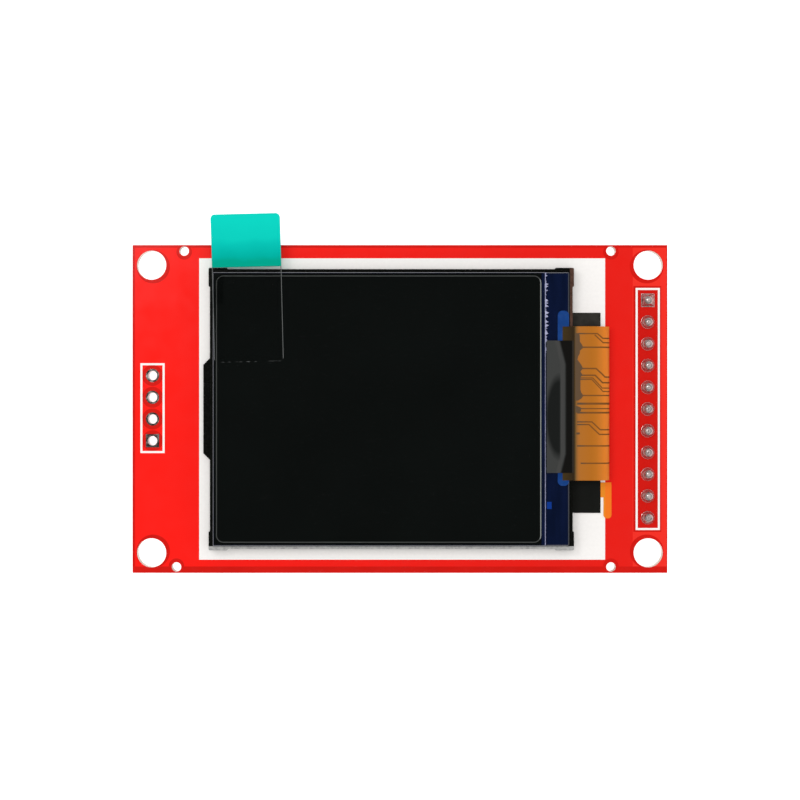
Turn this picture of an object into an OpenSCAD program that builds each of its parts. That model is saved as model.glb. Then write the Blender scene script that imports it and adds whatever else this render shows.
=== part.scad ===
// Colour display module: a backlit display stuck to a carrier board, its flex folded under it,
// a row of header pins along one end and a memory card socket on the back.
// Millimetres. The origin is the centre of the four mounting holes on the board's front face,
// +X runs along the board towards the header, +Y up the screen and +Z out of the screen.

/* [Board] */
// Length of the board
board_l = 62.48; // [61:0.01:75]
// Width of the board
board_w = 38.3; // [38:0.01:48]
// Thickness of the board
board_t = 1.6; // [1:0.1:2.4]
// Diameter of the four mounting holes
mount_d = 3.4; // [2.2:0.1:3.6]
// Distance of the mounting holes from the short edges
mount_inset_x = 2.24; // [2.1:0.01:2.8]
// Distance of the mounting holes from the long edges
mount_inset_y = 2.35; // [2.1:0.01:2.5]
// Diameter of the small tooling holes
tooling_d = 1.1; // [0.7:0.05:1.1]
// Distance of the tooling holes from the long edges
tooling_inset = 0.7; // [0.65:0.01:0.75]
// Thickness of the printed ink and of the plated pads
coat_t = 0.03; // [0.02:0.01:0.05]
// Width of a printed line
line_w = 0.24; // [0.15:0.01:0.3]

/* [Pin rows] */
// Spacing of the holes in both rows
pitch = 2.54; // [2.4:0.01:2.54]
// Number of header pins
header_pins = 11; // [4:1:11]
// Distance of the header row from the short edge
header_inset = 2.29; // [2.1:0.01:2.6]
// Number of holes in the open row
row_pins = 4; // [2:1:6]
// Distance of the open row from the short edge
row_inset = 2.34; // [2.1:0.01:2.6]
// Offset of the open row above the board's middle
row_shift = 0.1; // [-1:0.1:1]
// Inner diameter of a plated hole
plated_d = 1.1; // [1:0.02:1.2]
// Diameter of the plated ring round a hole
ring_d = 1.55; // [1.5:0.01:1.7]
// Side of a header pin
pin_w = 0.64; // [0.5:0.01:0.66]
// Length of pin below the insulator
pin_below = 6; // [5:0.1:12]
// Length of pin above the board's front face
pin_above = 1.15; // [1.1:0.05:2]
// Length of the tapered pin tips
pin_tip = 0.45; // [0.2:0.05:0.6]
// Height of the header's insulator
header_h = 2.54; // [2:0.01:4]
// Corner cut of each insulator segment
header_notch = 0.4; // [0.2:0.05:0.6]
// Height of the solder cones
solder_h = 0.92; // [0.6:0.02:1]

/* [Display] */
// Length of the display's frame
lcd_l = 42; // [40:0.1:44]
// Width of the display's frame
lcd_w = 32.4; // [31:0.1:33]
// Offset of the display from the board's middle, towards the header
lcd_shift = -1; // [-2:0.1:0]
// Thickness of the foam tape under the display
foam_t = 0.4; // [0.4:0.05:0.8]
// Thickness of the rim round the glass
rim_t = 0.3; // [0.2:0.05:0.5]
// Height of the rim beside the glass
rim_cover = 0.35; // [0.1:0.05:0.45]
// Gap between the glass and the rim
glass_gap = 0.1; // [0.05:0.01:0.2]
// Thickness of each of the two glass plates
glass_t = 0.5; // [0.4:0.05:0.7]
// Width of the bare ledge on the lower glass plate
ledge_l = 2.85; // [2.7:0.05:3.2]
// Thickness of a polarizer
polarizer_t = 0.15; // [0.1:0.01:0.2]
// Inset of the front polarizer from the upper glass
polarizer_inset = 0.12; // [0.05:0.01:0.2]
// Inset of the front polarizer on the ledge side
polarizer_inset_ledge = 0.4; // [0.1:0.01:0.5]
// Thickness of the peelable film
film_t = 0.06; // [0.04:0.01:0.1]
// Inset of the peelable film from the polarizer
film_inset = 0.27; // [0.1:0.01:0.4]
// Inset of the peelable film on the ledge side
film_inset_ledge = 0.05; // [0:0.01:0.2]
// Corner radius of the peelable film
film_r = 0.85; // [0.4:0.05:1.5]

/* [Backlight] */
// Width of the frame's sides, round the light guide
frame_side = 1.2; // [1:0.05:1.3]
// Thickness of the light guide
guide_t = 0.8; // [0.7:0.05:1.2]
// Thickness of each optical film
sheet_t = 0.12; // [0.08:0.01:0.2]
// Thickness of the reflector sheet
reflector_t = 0.1; // [0.08:0.01:0.15]
// Lap of the reflector under the frame
reflector_lap = 0.3; // [0.2:0.05:0.5]
// Gap between the pieces inside the frame
stack_gap = 0.1; // [0.05:0.01:0.15]
// Space at the end of the light guide for the lamps
lamp_bay = 2.6; // [2.2:0.1:2.8]
// Thickness of the black rim tape
rim_tape_t = 0.06; // [0.04:0.01:0.1]
// Number of lamps
lamps = 4; // [3:1:6]
// Spacing of the lamps
lamp_pitch = 6.4; // [4:0.1:7]
// Length of a lamp along the light guide's edge
lamp_l = 3; // [2:0.1:3.5]
// Depth of a lamp
lamp_d = 1.1; // [0.8:0.05:1.3]
// Height of a lamp
lamp_h = 0.6; // [0.4:0.05:0.7]
// Thickness of the lamps' flex
lamp_flex_t = 0.1; // [0.08:0.01:0.15]
// Width of the tail of the lamps' flex
lamp_tail_w = 5; // [3:0.1:6]
// Length of the lug on the display's end
lug_l = 12; // [8:0.5:20]
// Reach of the lug beyond the frame
lug_out = 0.85; // [0.4:0.05:1]
// Length of the corner bosses
boss_l = 2.2; // [1.5:0.1:3]
// Reach of the corner bosses beyond the frame
boss_out = 0.15; // [0.1:0.01:0.2]

/* [Pull tab] */
// Width of the pull tab
tab_w = 8; // [6:0.1:12]
// Length of the tab stuck to the film
tab_stuck_l = 10.95; // [8:0.1:14]
// Length of the free end of the tab
tab_free_l = 6.15; // [4:0.05:9]
// Thickness of the tab
tab_t = 0.06; // [0.04:0.01:0.1]
// Slant of the tab
tab_slant = 1.4; // [0:0.1:5]
// Radius that the free end curls to
tab_curl_r = 32; // [20:1:60]
// Corner radius of the tab
tab_r = 0.5; // [0.2:0.05:1]

/* [Flex] */
// Thickness of the display's flex
flex_t = 0.12; // [0.08:0.01:0.15]
// Width of the flex at its fold
flex_w = 17.82; // [16:0.01:18]
// Offset of the flex above the display's middle
flex_shift = 0.65; // [0:0.05:1]
// Length of flex bonded on the glass ledge
bond_l = 0.8; // [0.6:0.05:0.9]
// Reach of the fold beyond the display's frame
flex_reach = 4.33; // [3.9:0.01:4.6]
// Width of the lower leaf under the display
leaf_w = 23.1; // [22.6:0.05:23.1]
// Offset of the lower leaf below the display's middle
leaf_shift = -0.45; // [-0.6:0.05:-0.3]
// Length of the lower leaf hidden under the display
leaf_under = 5.5; // [5:0.1:6]
// Number of soldered pads on the lower leaf
leaf_pads = 14; // [10:1:15]
// Spacing of the soldered pads
leaf_pitch = 1.5; // [1:0.05:1.5]
// Width of the tail on the lower leaf
tail_w = 0.93; // [0.7:0.01:1]
// Length of the tail on the lower leaf
tail_l = 4.2; // [3:0.1:5]
// Thickness of the black insulating tape
tape_t = 0.05; // [0.04:0.01:0.08]
// Length of the driver chip
chip_l = 12.6; // [10:0.1:14]
// Width of the driver chip
chip_w = 1; // [0.8:0.05:1.1]
// Height of the driver chip
chip_h = 0.3; // [0.2:0.01:0.4]
// Length of the black tape across the ledge
ledge_tape_l = 15.3; // [13:0.1:16]
// Thickness of the tape across the ledge
ledge_tape_t = 0.06; // [0.04:0.01:0.08]
// Height of the sealant bead beside the flex
sealant_h = 0.14; // [0.1:0.01:0.14]

/* [Card socket] */
// Width of the socket
sock_w = 28; // [27.6:0.1:30]
// Depth of the socket, from its mouth to its back wall
sock_d = 26.5; // [24:0.1:27]
// Height of the socket
sock_h = 3; // [2.8:0.1:3.6]
// Distance of the socket's mouth from the short edge
sock_inset = 6.24; // [5.5:0.01:7]
// Thickness of the socket's sheet metal
shell_t = 0.2; // [0.15:0.01:0.3]
// Outer bend radius of the sheet metal
shell_r = 0.5; // [0.4:0.05:0.8]
// Width of the card slot
slot_w = 24.3; // [24.2:0.05:24.8]
// Thickness of the socket's floor
floor_t = 0.6; // [0.5:0.05:0.8]
// Length of the socket's back wall
rear_l = 2.4; // [2:0.1:3]
// Number of card contacts
contacts = 9; // [7:1:9]
// Spacing of the card contacts
contact_pitch = 2.5; // [2.2:0.05:2.5]
// Length of a card contact with its soldered tail
contact_l = 11.8; // [11:0.1:12.5]
// Width of a card contact
contact_w = 0.8; // [0.6:0.05:1]
// Thickness of a card contact
contact_t = 0.15; // [0.1:0.01:0.2]
// Rise of a contact above the socket's floor
contact_rise = 0.6; // [0.4:0.05:0.9]
// Diameter of the socket's pegs
peg_d = 1.5; // [1:0.1:1.8]

/* [Small parts] */
// Length of a resistor
resistor_l = 1.6; // [1.5:0.05:1.7]
// Width of a resistor
resistor_w = 0.8; // [0.7:0.05:0.9]
// Height of a resistor
resistor_h = 0.45; // [0.3:0.05:0.6]
// Length of a capacitor
capacitor_l = 2; // [1.9:0.05:2.2]
// Width of a capacitor
capacitor_w = 1.25; // [1.1:0.05:1.4]
// Height of a capacitor
capacitor_h = 0.9; // [0.7:0.05:1.25]
// Length of the metal ends of resistors and capacitors
end_l = 0.35; // [0.25:0.05:0.45]
// Length of a three-legged package
package_l = 2.9; // [2.8:0.05:3.1]
// Width of a three-legged package
package_w = 1.3; // [1.2:0.05:1.4]
// Height of a three-legged package
package_h = 0.95; // [0.8:0.05:1.1]
// Tip to tip width of their legs
leg_span = 2.4; // [2.2:0.05:2.6]
// Width of a leg
leg_w = 0.4; // [0.3:0.05:0.5]
// Thickness of a leg
leg_t = 0.13; // [0.1:0.01:0.16]
// Spacing of the two legs on one side
leg_pitch = 1.9; // [1.7:0.05:2]

/* [Hidden] */
function numbered(stem, n) = [for (i = [1:n]) str(stem, i < 10 ? "_0" : "_", i)];
$fn = 48;
cut = 0.02;
gap = 0.1;

mount_x = board_l / 2 - mount_inset_x;
mount_y = board_w / 2 - mount_inset_y;
header_x = board_l / 2 - header_inset;
row_x = row_inset - board_l / 2;
tooling_y = board_w / 2 - tooling_inset;
// Each tooling hole: side along X, side along Y, distance from the short edge
tooling = [[-1, 1, 6.04], [1, 1, 6.59], [-1, -1, 5.14], [1, -1, 6.59]];
box_margin = 0.1;

// Edges and levels of the display, from the board's front face upwards
lcd_x0 = lcd_shift - lcd_l / 2;
lcd_x1 = lcd_shift + lcd_l / 2;
lcd_z = coat_t + foam_t;
guide_z = lcd_z + reflector_t;
film_z = guide_z + guide_t;
shelf_z = film_z + 3 * sheet_t;
rear_polarizer_z = shelf_z + rim_tape_t;
lower_glass_z = rear_polarizer_z + polarizer_t;
ledge_z = lower_glass_z + glass_t;
upper_glass_z = ledge_z;
front_polarizer_z = upper_glass_z + glass_t;
cover_z = front_polarizer_z + polarizer_t;
tab_z = cover_z + film_t;
rim_z = lower_glass_z + rim_cover;

glass_edge = rim_t + glass_gap;
glass_x0 = lcd_x0 + glass_edge;
glass_x1 = lcd_x1 - glass_edge;
glass_y1 = lcd_w / 2 - glass_edge;
upper_x1 = glass_x1 - ledge_l;
polarizer_x0 = glass_x0 + polarizer_inset;
polarizer_x1 = upper_x1 - polarizer_inset_ledge;
polarizer_y1 = glass_y1 - polarizer_inset;
rear_polarizer_inset = 0.4;

// The space inside the frame that holds the light guide and the lamps
pocket_x0 = lcd_x0 + frame_side;
pocket_x1 = lcd_x1 - frame_side - gap;
pocket_y1 = lcd_w / 2 - frame_side;
guide_x1 = pocket_x1 - lamp_bay;
window_inset = 0.4;
tail_notch_w = lamp_tail_w + 4 * gap;

// Printed white field under the display
field_end = 1.45;
field_fold_end = 3.97;
field_side = 1.4;
field_x0 = lcd_x0 - field_end;
field_x1 = lcd_x1 + field_fold_end;
field_y1 = lcd_w / 2 + field_side;

// The fold of the display's flex
flex_y0 = flex_shift - flex_w / 2;
flex_y1 = flex_shift + flex_w / 2;
fold_r = (ledge_z + flex_t - coat_t) / 2;
fold_x = lcd_x1 + flex_reach - fold_r;
fold_z = coat_t + fold_r;
bond_x = glass_x1 - bond_l;
leaf_x0 = lcd_x1 - leaf_under;
leaf_past_fold = 0.2;
leaf_x1 = fold_x + leaf_past_fold;
leaf_y0 = leaf_shift - leaf_w / 2;
leaf_y1 = leaf_shift + leaf_w / 2;
leaf_z1 = coat_t + flex_t;
slit = 0.31;
tail_past_fold = 0.37;
tail_x1 = lcd_x1 + flex_reach + tail_past_fold;
tail_y1 = flex_y0 - slit;
tail_neck = 1.75;
tail_r = 0.4;
tape_margin = 0.13;
pad_l = 1.6;
pad_overlap = 0.7;
chip_clear = 0.4;
chip_x0 = upper_x1 + chip_clear;
chip_x1 = chip_x0 + chip_w;
sealant_x0 = chip_x1 + gap;
sealant_r = 0.55;
sealant_past_low = 0.62;
sealant_past_high = 1.82;

// The card socket, measured from its mouth and from the board's back face
sock_x = sock_inset - board_l / 2;
shell_lift = 0.25;
shell_lap = 0.8;
shell_l = sock_d - rear_l + shell_lap;
under_shell = sock_h - shell_t;
base_in = 0.8;
base_w = sock_w - 2 * shell_t - 2 * gap;
rail_w = (base_w - slot_w) / 2;
foot_l = 1.6;
foot_out = 1.1;
foot_x = [3.2, 19.4];
peg_x = 6;
peg_y = 11.5;
peg_l = 1.2;
peg_gap = 0.05;
contact_tail = 1.3;
contact_x1 = sock_d + contact_tail;
contact_x0 = contact_x1 - contact_l;
contact_room = 3 * gap;
contact_slot_x0 = contact_x0 - 2 * contact_room;
contact_root = 1.5;
contact_root_x = sock_d - rear_l - contact_root;
contact_slot_w = contact_w + 2 * contact_room;
well_in = 2;
well_side = 4;

// The small parts stand in four columns between the socket's tails and the header
land_out = 0.35;
fillet_l = 0.3;
court = 0.5;
parts_x0 = sock_x + contact_x1 + 2 * fillet_l;
parts_x1 = header_x - pitch / 2;
function column(i) = parts_x0 + (parts_x1 - parts_x0) * (i + 0.5) / 4;
part_rows = 4;
part_pitch = 1.5 * pitch;
part_y = 4 * pitch;
resistor_at = concat(
    [for (i = [0:part_rows - 1]) [column(0), (i - (part_rows - 1) / 2) * part_pitch]],
    [for (i = [1:2]) [column(i), -part_y]]);
capacitor_at = [for (i = [1:2], y = [part_y, part_y - part_pitch]) [column(i), y]];
regulator_at = [column(3), part_y];
transistor_at = [column(3), -part_y];
jumper_at = [column(1.5), 0];

// ---------- helpers ----------

function unit(v) = v / norm(v);
function left(v) = [-v.y, v.x];
// Offset direction at point i of the path p, long enough to keep a strip's thickness in a corner
function miter(p, i) = let (
    j = max(i, 1),
    k = min(i, len(p) - 2),
    a = left(unit(p[j] - p[j - 1])),
    b = left(unit(p[k + 1] - p[k])),
    m = unit(a + b)
) m / (m * a);
// Outline of a bent strip of thickness t along the path p
function strip(p, t) = concat(
    [for (i = [0:len(p) - 1]) p[i] + miter(p, i) * t / 2],
    [for (i = [len(p) - 1:-1:0]) p[i] - miter(p, i) * t / 2]
);

// A plate between two corners, with height t from level z
module plate(x0, y0, x1, y1, z, t)
    translate([x0, y0, z]) cube([x1 - x0, y1 - y0, t]);

module rounded(x0, y0, x1, y1, r) {
    translate([x0 + r, y0]) square([x1 - x0 - 2 * r, y1 - y0]);
    translate([x0, y0 + r]) square([x1 - x0, y1 - y0 - 2 * r]);
    for (x = [x0 + r, x1 - r], y = [y0 + r, y1 - r]) translate([x, y]) circle(r);
}

// Places children on the back face with +Z pointing away from the board
module on_back() translate([0, 0, -board_t]) mirror([0, 0, 1]) children();

// Stands a profile drawn in X and Z up, w wide along Y and centred
module across(w) rotate([90, 0, 0]) linear_extrude(w, center = true) children();

function row_y(n, i) = ((n - 1) / 2 - i) * pitch;
module at_header(first = 0, last = header_pins - 1)
    for (i = [first:last]) translate([header_x, row_y(header_pins, i)]) children();
module at_row(first = 0, last = row_pins - 1)
    for (i = [first:last]) translate([row_x, row_shift + row_y(row_pins, i)]) children();
module at_mounts()
    for (x = [-mount_x, mount_x], y = [-mount_y, mount_y]) translate([x, y]) children();
module at_tooling()
    for (h = tooling) translate([h[0] * (board_l / 2 - h[2]), h[1] * tooling_y]) children();
module at_pegs()
    for (y = [-peg_y, peg_y]) translate([sock_x + peg_x, y]) children();
function leaf_pad_y(i) = leaf_shift + (i - (leaf_pads - 1) / 2) * leaf_pitch;
function contact_y(i) = (i - (contacts - 1) / 2) * contact_pitch;

// ---------- board ----------

module pcb() color("red") translate([0, 0, -board_t]) linear_extrude(board_t) difference() {
    square([board_l, board_w], center = true);
    at_mounts() circle(d = mount_d);
    at_tooling() circle(d = tooling_d);
    at_row() circle(d = plated_d);
    at_header() circle(d = plated_d);
    at_pegs() circle(d = peg_d + 2 * peg_gap);
}

// Printed box round a row of n pins
module pin_box(n) difference() {
    square([pitch + box_margin / 2 + line_w, n * pitch + box_margin + line_w], center = true);
    square([pitch + box_margin / 2 - line_w, n * pitch + box_margin - line_w], center = true);
}

module front_silkscreen() color("white") linear_extrude(coat_t) {
    difference() {
        translate([field_x0, -field_y1]) square([field_x1 - field_x0, 2 * field_y1]);
        translate([leaf_x0 - pad_l + pad_overlap - gap, leaf_y0])
            square([pad_l + 2 * gap, leaf_w]);
        at_pegs() circle(d = peg_d + 2 * peg_gap);
    }
    translate([row_x, row_shift]) pin_box(row_pins);
    translate([header_x, 0]) pin_box(header_pins);
}

// Printed outline of a rectangular part of size s
module part_outline(s) difference() {
    square([s.x + line_w, s.y + line_w], center = true);
    square([s.x - line_w, s.y - line_w], center = true);
}

module back_silkscreen() color("white") on_back() linear_extrude(coat_t) {
    translate([row_x, row_shift]) pin_box(row_pins);
    for (p = concat(resistor_at, [jumper_at])) translate(p)
        part_outline([resistor_l + 2 * land_out + 2 * court, resistor_w + 2 * court]);
    for (p = capacitor_at) translate(p)
        part_outline([capacitor_l + 2 * land_out + 2 * court, capacitor_w + 2 * court]);
    for (p = [regulator_at, transistor_at]) translate(p)
        part_outline([leg_span + 2 * land_out + 2 * court, package_l + 2 * court]);
}

module pad_shape(square_pad)
    if (square_pad) square(ring_d, center = true);
    else circle(d = ring_d);

// The rings of a hole on both faces of the board
module plated_hole(square_pad)
    for (z = [-board_t - coat_t, 0]) translate([0, 0, z]) linear_extrude(coat_t) difference() {
        pad_shape(square_pad);
        circle(d = plated_d);
    }

module row_plating() color("silver") {
    at_row(0, row_pins - 2) plated_hole(false);
    at_row(row_pins - 1) plated_hole(true);
}

module header_plating() color("silver") {
    at_header(0, 0) plated_hole(true);
    at_header(1) plated_hole(false);
}

// ---------- header ----------

module header_insulator() color("#222") translate([0, 0, -board_t - coat_t - header_h])
    linear_extrude(header_h) at_header() difference() {
        p = pitch / 2;
        c = header_notch;
        polygon([[p - c, -p], [p, c - p], [p, p - c], [p - c, p],
                 [c - p, p], [-p, p - c], [-p, c - p], [c - p, -p]]);
        square(pin_w, center = true);
    }

// Side view of a pin, with both tips tapered
module pin_profile() {
    top = pin_above;
    bottom = -board_t - coat_t - header_h - pin_below;
    side = pin_w / 2;
    tip = pin_w / 4;
    polygon([[tip, bottom], [side, bottom + pin_tip], [side, top - pin_tip / 2], [tip, top],
             [-tip, top], [-side, top - pin_tip / 2], [-side, bottom + pin_tip], [-tip, bottom]]);
}

module header_pin(i) color("gold") at_header(i - 1, i - 1) intersection() {
    across(pin_w) pin_profile();
    rotate([0, 0, 90]) across(pin_w) pin_profile();
}

// A hollow cone of solder, from radius r at the pad up to the pin
module solder_cone(r) {
    r_top = pin_w * 0.62;
    rotate_extrude() polygon(concat(
        [[0, 0]],
        [for (a = [0:15:90]) [r - (r - r_top) * sin(a), solder_h * (1 - cos(a))]],
        [[0, solder_h]]
    ));
}

module solder_joint(square_pad) difference() {
    union() {
        translate([0, 0, coat_t])
            if (square_pad) intersection() {
                solder_cone(ring_d * 0.7);
                translate([-ring_d / 2, -ring_d / 2, 0]) cube([ring_d, ring_d, solder_h]);
            }
            else solder_cone(ring_d / 2);
        translate([0, 0, -board_t]) cylinder(d = plated_d, h = board_t + coat_t);
    }
    translate([-pin_w / 2, -pin_w / 2, -board_t - cut])
        cube([pin_w, pin_w, board_t + 2 * pin_above]);
}

module header_solder() color("#aaa") {
    at_header(0, 0) solder_joint(true);
    at_header(1) solder_joint(false);
}

// ---------- backlight ----------

foam_inset = 0.5;
module mounting_foam() color("#ddd")
    plate(lcd_x0 + foam_inset, foam_inset - lcd_w / 2, leaf_x0 - pad_l, lcd_w / 2 - foam_inset,
          coat_t, foam_t);

module frame_outline() {
    translate([lcd_x0, -lcd_w / 2]) square([lcd_l, lcd_w]);
    for (x = [lcd_x0 - boss_out, lcd_x1 + boss_out - boss_l],
         y = [-lcd_w / 2 - boss_out, lcd_w / 2 + boss_out - boss_l])
        rounded(x, y, x + boss_l, y + boss_l, boss_out);
}

module backlight_frame() color("#111") difference() {
    union() {
        translate([0, 0, lcd_z]) linear_extrude(rim_z - lcd_z) frame_outline();
        translate([0, 0, lcd_z]) linear_extrude(guide_t) polygon([
            [lcd_x0 + cut, -lug_l / 2], [lcd_x0, -lug_l / 2],
            [lcd_x0 - lug_out, lug_out - lug_l / 2], [lcd_x0 - lug_out, lug_l / 2 - lug_out],
            [lcd_x0, lug_l / 2], [lcd_x0 + cut, lug_l / 2]]);
    }
    plate(pocket_x0, -pocket_y1, pocket_x1, pocket_y1, lcd_z - cut, shelf_z - lcd_z + 2 * cut);
    plate(glass_x0 - glass_gap, -glass_y1 - glass_gap, glass_x1 + glass_gap, glass_y1 + glass_gap,
          shelf_z, rim_z);
    plate(pocket_x0 - reflector_lap, -pocket_y1 - reflector_lap, pocket_x1 + reflector_lap,
          pocket_y1 + reflector_lap, lcd_z - cut, reflector_t + cut);
    plate(pocket_x1 - cut, -tail_notch_w / 2, lcd_x1 + 1, tail_notch_w / 2, lcd_z - cut,
          reflector_t + 2 * lamp_flex_t + cut);
}

module reflector_sheet() color("white") {
    lap = reflector_lap - gap / 2;
    plate(pocket_x0 - lap, -pocket_y1 - lap, pocket_x1 + lap, pocket_y1 + lap, lcd_z, reflector_t);
}

// A sheet that fills the pocket up to the lamps
module pocket_sheet(z, t)
    plate(pocket_x0 + stack_gap, -pocket_y1 + stack_gap, guide_x1, pocket_y1 - stack_gap, z, t);

module light_guide() color("#cde") pocket_sheet(guide_z, guide_t);
module diffuser_film() color("#eee") pocket_sheet(film_z, sheet_t);
module prism_film_lower() color("#dde") pocket_sheet(film_z + sheet_t, sheet_t);
module prism_film_upper() color("#dde") pocket_sheet(film_z + 2 * sheet_t, sheet_t);

module rim_tape() color("black") translate([0, 0, shelf_z]) linear_extrude(rim_tape_t)
    difference() {
        translate([glass_x0, -glass_y1]) square([glass_x1 - glass_x0, 2 * glass_y1]);
        translate([pocket_x0 + window_inset, window_inset - pocket_y1])
            square([guide_x1 - pocket_x0 - 2 * window_inset, 2 * pocket_y1 - 2 * window_inset]);
    }

// The lamps' flex lies beside the light guide, and its tail steps down to the display's flex
lamp_flex_x0 = guide_x1 + gap;
lamp_tail_x = lcd_x1 + 0.25;
lamp_step = 0.7;
lamp_land = 1.4;
module lamp_flex() color("orange") {
    z = guide_z + lamp_flex_t / 2;
    low = leaf_z1 + lamp_flex_t / 2;
    strip_w = (lamps - 1) * lamp_pitch + lamp_l + 1;
    plate(lamp_flex_x0, -strip_w / 2, pocket_x1 - gap, strip_w / 2, guide_z, lamp_flex_t);
    across(lamp_tail_w) polygon(strip([
        [lamp_flex_x0 + gap, z], [lamp_tail_x, z], [lamp_tail_x + lamp_step, low],
        [lamp_tail_x + lamp_step + lamp_land, low]], lamp_flex_t));
}

// A lamp: a moulded body with a window that faces the light guide
module lamp(i) color("#ffd") translate([
        lamp_flex_x0, (i - (lamps + 1) / 2) * lamp_pitch - lamp_l / 2, guide_z + lamp_flex_t])
    difference() {
        cube([lamp_d, lamp_l, lamp_h]);
        translate([-cut, 0.4, 0.1]) cube([0.25, lamp_l - 0.8, lamp_h - 0.2]);
    }

// ---------- display cell ----------

module rear_polarizer() color("#333") {
    i = rear_polarizer_inset;
    plate(glass_x0 + i, i - glass_y1, glass_x1 - i, glass_y1 - i, rear_polarizer_z, polarizer_t);
}

module lower_glass() color("#123")
    plate(glass_x0, -glass_y1, glass_x1, glass_y1, lower_glass_z, glass_t);

module upper_glass() color("#112")
    plate(glass_x0, -glass_y1, upper_x1, glass_y1, upper_glass_z, glass_t);

module front_polarizer() color("#111")
    plate(polarizer_x0, -polarizer_y1, polarizer_x1, polarizer_y1, front_polarizer_z, polarizer_t);

module protective_film() color("#222") translate([0, 0, cover_z]) linear_extrude(film_t)
    rounded(polarizer_x0 + film_inset, film_inset - polarizer_y1,
            polarizer_x1 - film_inset_ledge, polarizer_y1 - film_inset, film_r);

// The tab lies flat on the film, and its free end curls up past the board's edge
tab_from_end = 4.32;
tab_past_side = 0.185;
tab_x = lcd_x0 + tab_from_end;
tab_y = lcd_w / 2 + tab_past_side;
tab_turn = (tab_free_l + tab_r) / tab_curl_r;
tab_reach = tab_curl_r * sin(tab_free_l / tab_curl_r * 180 / PI);
module pull_tab() color("turquoise") translate([tab_x, tab_y, tab_z]) rotate([0, 0, tab_slant]) {
    linear_extrude(tab_t) {
        translate([-tab_w / 2, tab_r - tab_stuck_l]) square([tab_w, tab_stuck_l - tab_r]);
        translate([tab_r - tab_w / 2, -tab_stuck_l]) square([tab_w - 2 * tab_r, tab_r]);
        for (x = [tab_r - tab_w / 2, tab_w / 2 - tab_r])
            translate([x, tab_r - tab_stuck_l]) circle(tab_r);
    }
    intersection() {
        translate([tab_w / 2 + cut, 0, tab_curl_r]) rotate([0, -90, 0]) rotate([0, 0, 180])
            rotate_extrude(angle = -tab_turn * 180 / PI)
                translate([tab_curl_r - tab_t, 0]) square([tab_t, tab_w + 2 * cut]);
        translate([0, 0, -cut]) linear_extrude(tab_curl_r)
            rounded(-tab_w / 2, -tab_w, tab_w / 2, tab_reach, tab_r);
    }
}

module driver_chip() color("#333")
    translate([chip_x0, -chip_l / 2, ledge_z]) cube([chip_w, chip_l, chip_h]);

// ---------- display flex ----------

// Flat outline of the lower leaf: the stem from the fold, the wide soldered part and the tail
module leaf_outline() {
    translate([leaf_x0, flex_y0]) square([fold_x - leaf_x0, flex_w]);
    difference() {
        translate([leaf_x0, leaf_y0]) square([leaf_x1 - leaf_x0, leaf_w]);
        translate([fold_x, flex_y0 - slit]) square([leaf_x1, flex_w + 2 * slit]);
    }
    translate([leaf_x1 - cut, tail_y1 - tail_neck]) square([tail_x1 - leaf_x1, tail_neck]);
    rounded(tail_x1 - tail_w, tail_y1 - tail_l, tail_x1, tail_y1, tail_r);
}

// Side view of what the fold wraps: flat on the left, a half circle of radius r on the right
module fold_core(x, r) {
    translate([x, fold_z - r]) square([fold_x - x, 2 * r]);
    translate([fold_x, fold_z]) circle(r);
}

module display_flex() color("orange") {
    translate([0, flex_shift, 0]) across(flex_w) difference() {
        fold_core(bond_x, fold_r);
        fold_core(bond_x - cut, fold_r - flex_t);
    }
    translate([0, 0, coat_t]) linear_extrude(flex_t) leaf_outline();
}

// Lands on the front for the soldered end of the lower leaf
module front_pads() color("silver") for (i = [0:leaf_pads - 1])
    translate([leaf_x0 + pad_overlap - pad_l, leaf_pad_y(i) - leaf_pitch * 0.3, 0])
        cube([pad_l, leaf_pitch * 0.6, coat_t]);

module flex_solder() color("#aaa") for (i = [0:leaf_pads - 1])
    translate([leaf_x0, leaf_pad_y(i), 0]) across(leaf_pitch * 0.5) polygon([
        [0, coat_t], [0, leaf_z1], [pad_overlap, leaf_z1], [pad_overlap * 0.6, leaf_z1 + 0.08],
        [0, leaf_z1 + 0.08], [-0.4, coat_t + 0.1], [pad_overlap - pad_l, coat_t + 0.02],
        [pad_overlap - pad_l, coat_t]]);

// Black tape over the lower leaf, open where the flex folds back above it
tape_under = 2.5;
module flex_tape() color("#111") translate([0, 0, leaf_z1]) linear_extrude(tape_t)
    difference() {
        m = tape_margin;
        translate([lcd_x1 - tape_under, leaf_y0 - m])
            square([leaf_x1 + m - lcd_x1 + tape_under, leaf_w + 2 * m]);
        translate([lamp_tail_x, flex_y0 - gap]) square([leaf_x1, flex_w + 2 * gap]);
    }

// Blue resin along the bonded end of the flex
module bond_sealant() color("#139") translate([0, 0, ledge_z]) linear_extrude(sealant_h)
    difference() {
        rounded(sealant_x0, flex_y0 - sealant_past_low, glass_x1 - gap / 2,
                flex_y1 + sealant_past_high, sealant_r);
        translate([bond_x, flex_y0]) square([glass_x1 - bond_x, flex_w]);
    }

// Black tape draped from the driver chip down to the flex, laid a little off the middle
ledge_tape_y = 0.27;
module ledge_tape() color("#222") {
    high = ledge_z + chip_h + ledge_tape_t / 2;
    low = ledge_z + flex_t + ledge_tape_t / 2;
    translate([0, ledge_tape_y, 0]) across(ledge_tape_l) polygon(strip([
        [upper_x1 + 0.2, high], [chip_x1 + gap / 2, high], [glass_x1 - 0.6, low], [lcd_x1 + 0.1, low]],
        ledge_tape_t));
}

// ---------- card socket ----------

// End view of the folded shell: a flat top with two bent-down sides, w wide and h high
module fold_shape(w, h, r, lift) {
    translate([-w / 2, lift]) square([w, h - r - lift]);
    translate([r - w / 2, h - r]) square([w - 2 * r, r]);
    for (y = [r - w / 2, w / 2 - r]) translate([y, h - r]) circle(r);
}

module along(l) rotate([90, 0, 90]) linear_extrude(l) children();

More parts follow.
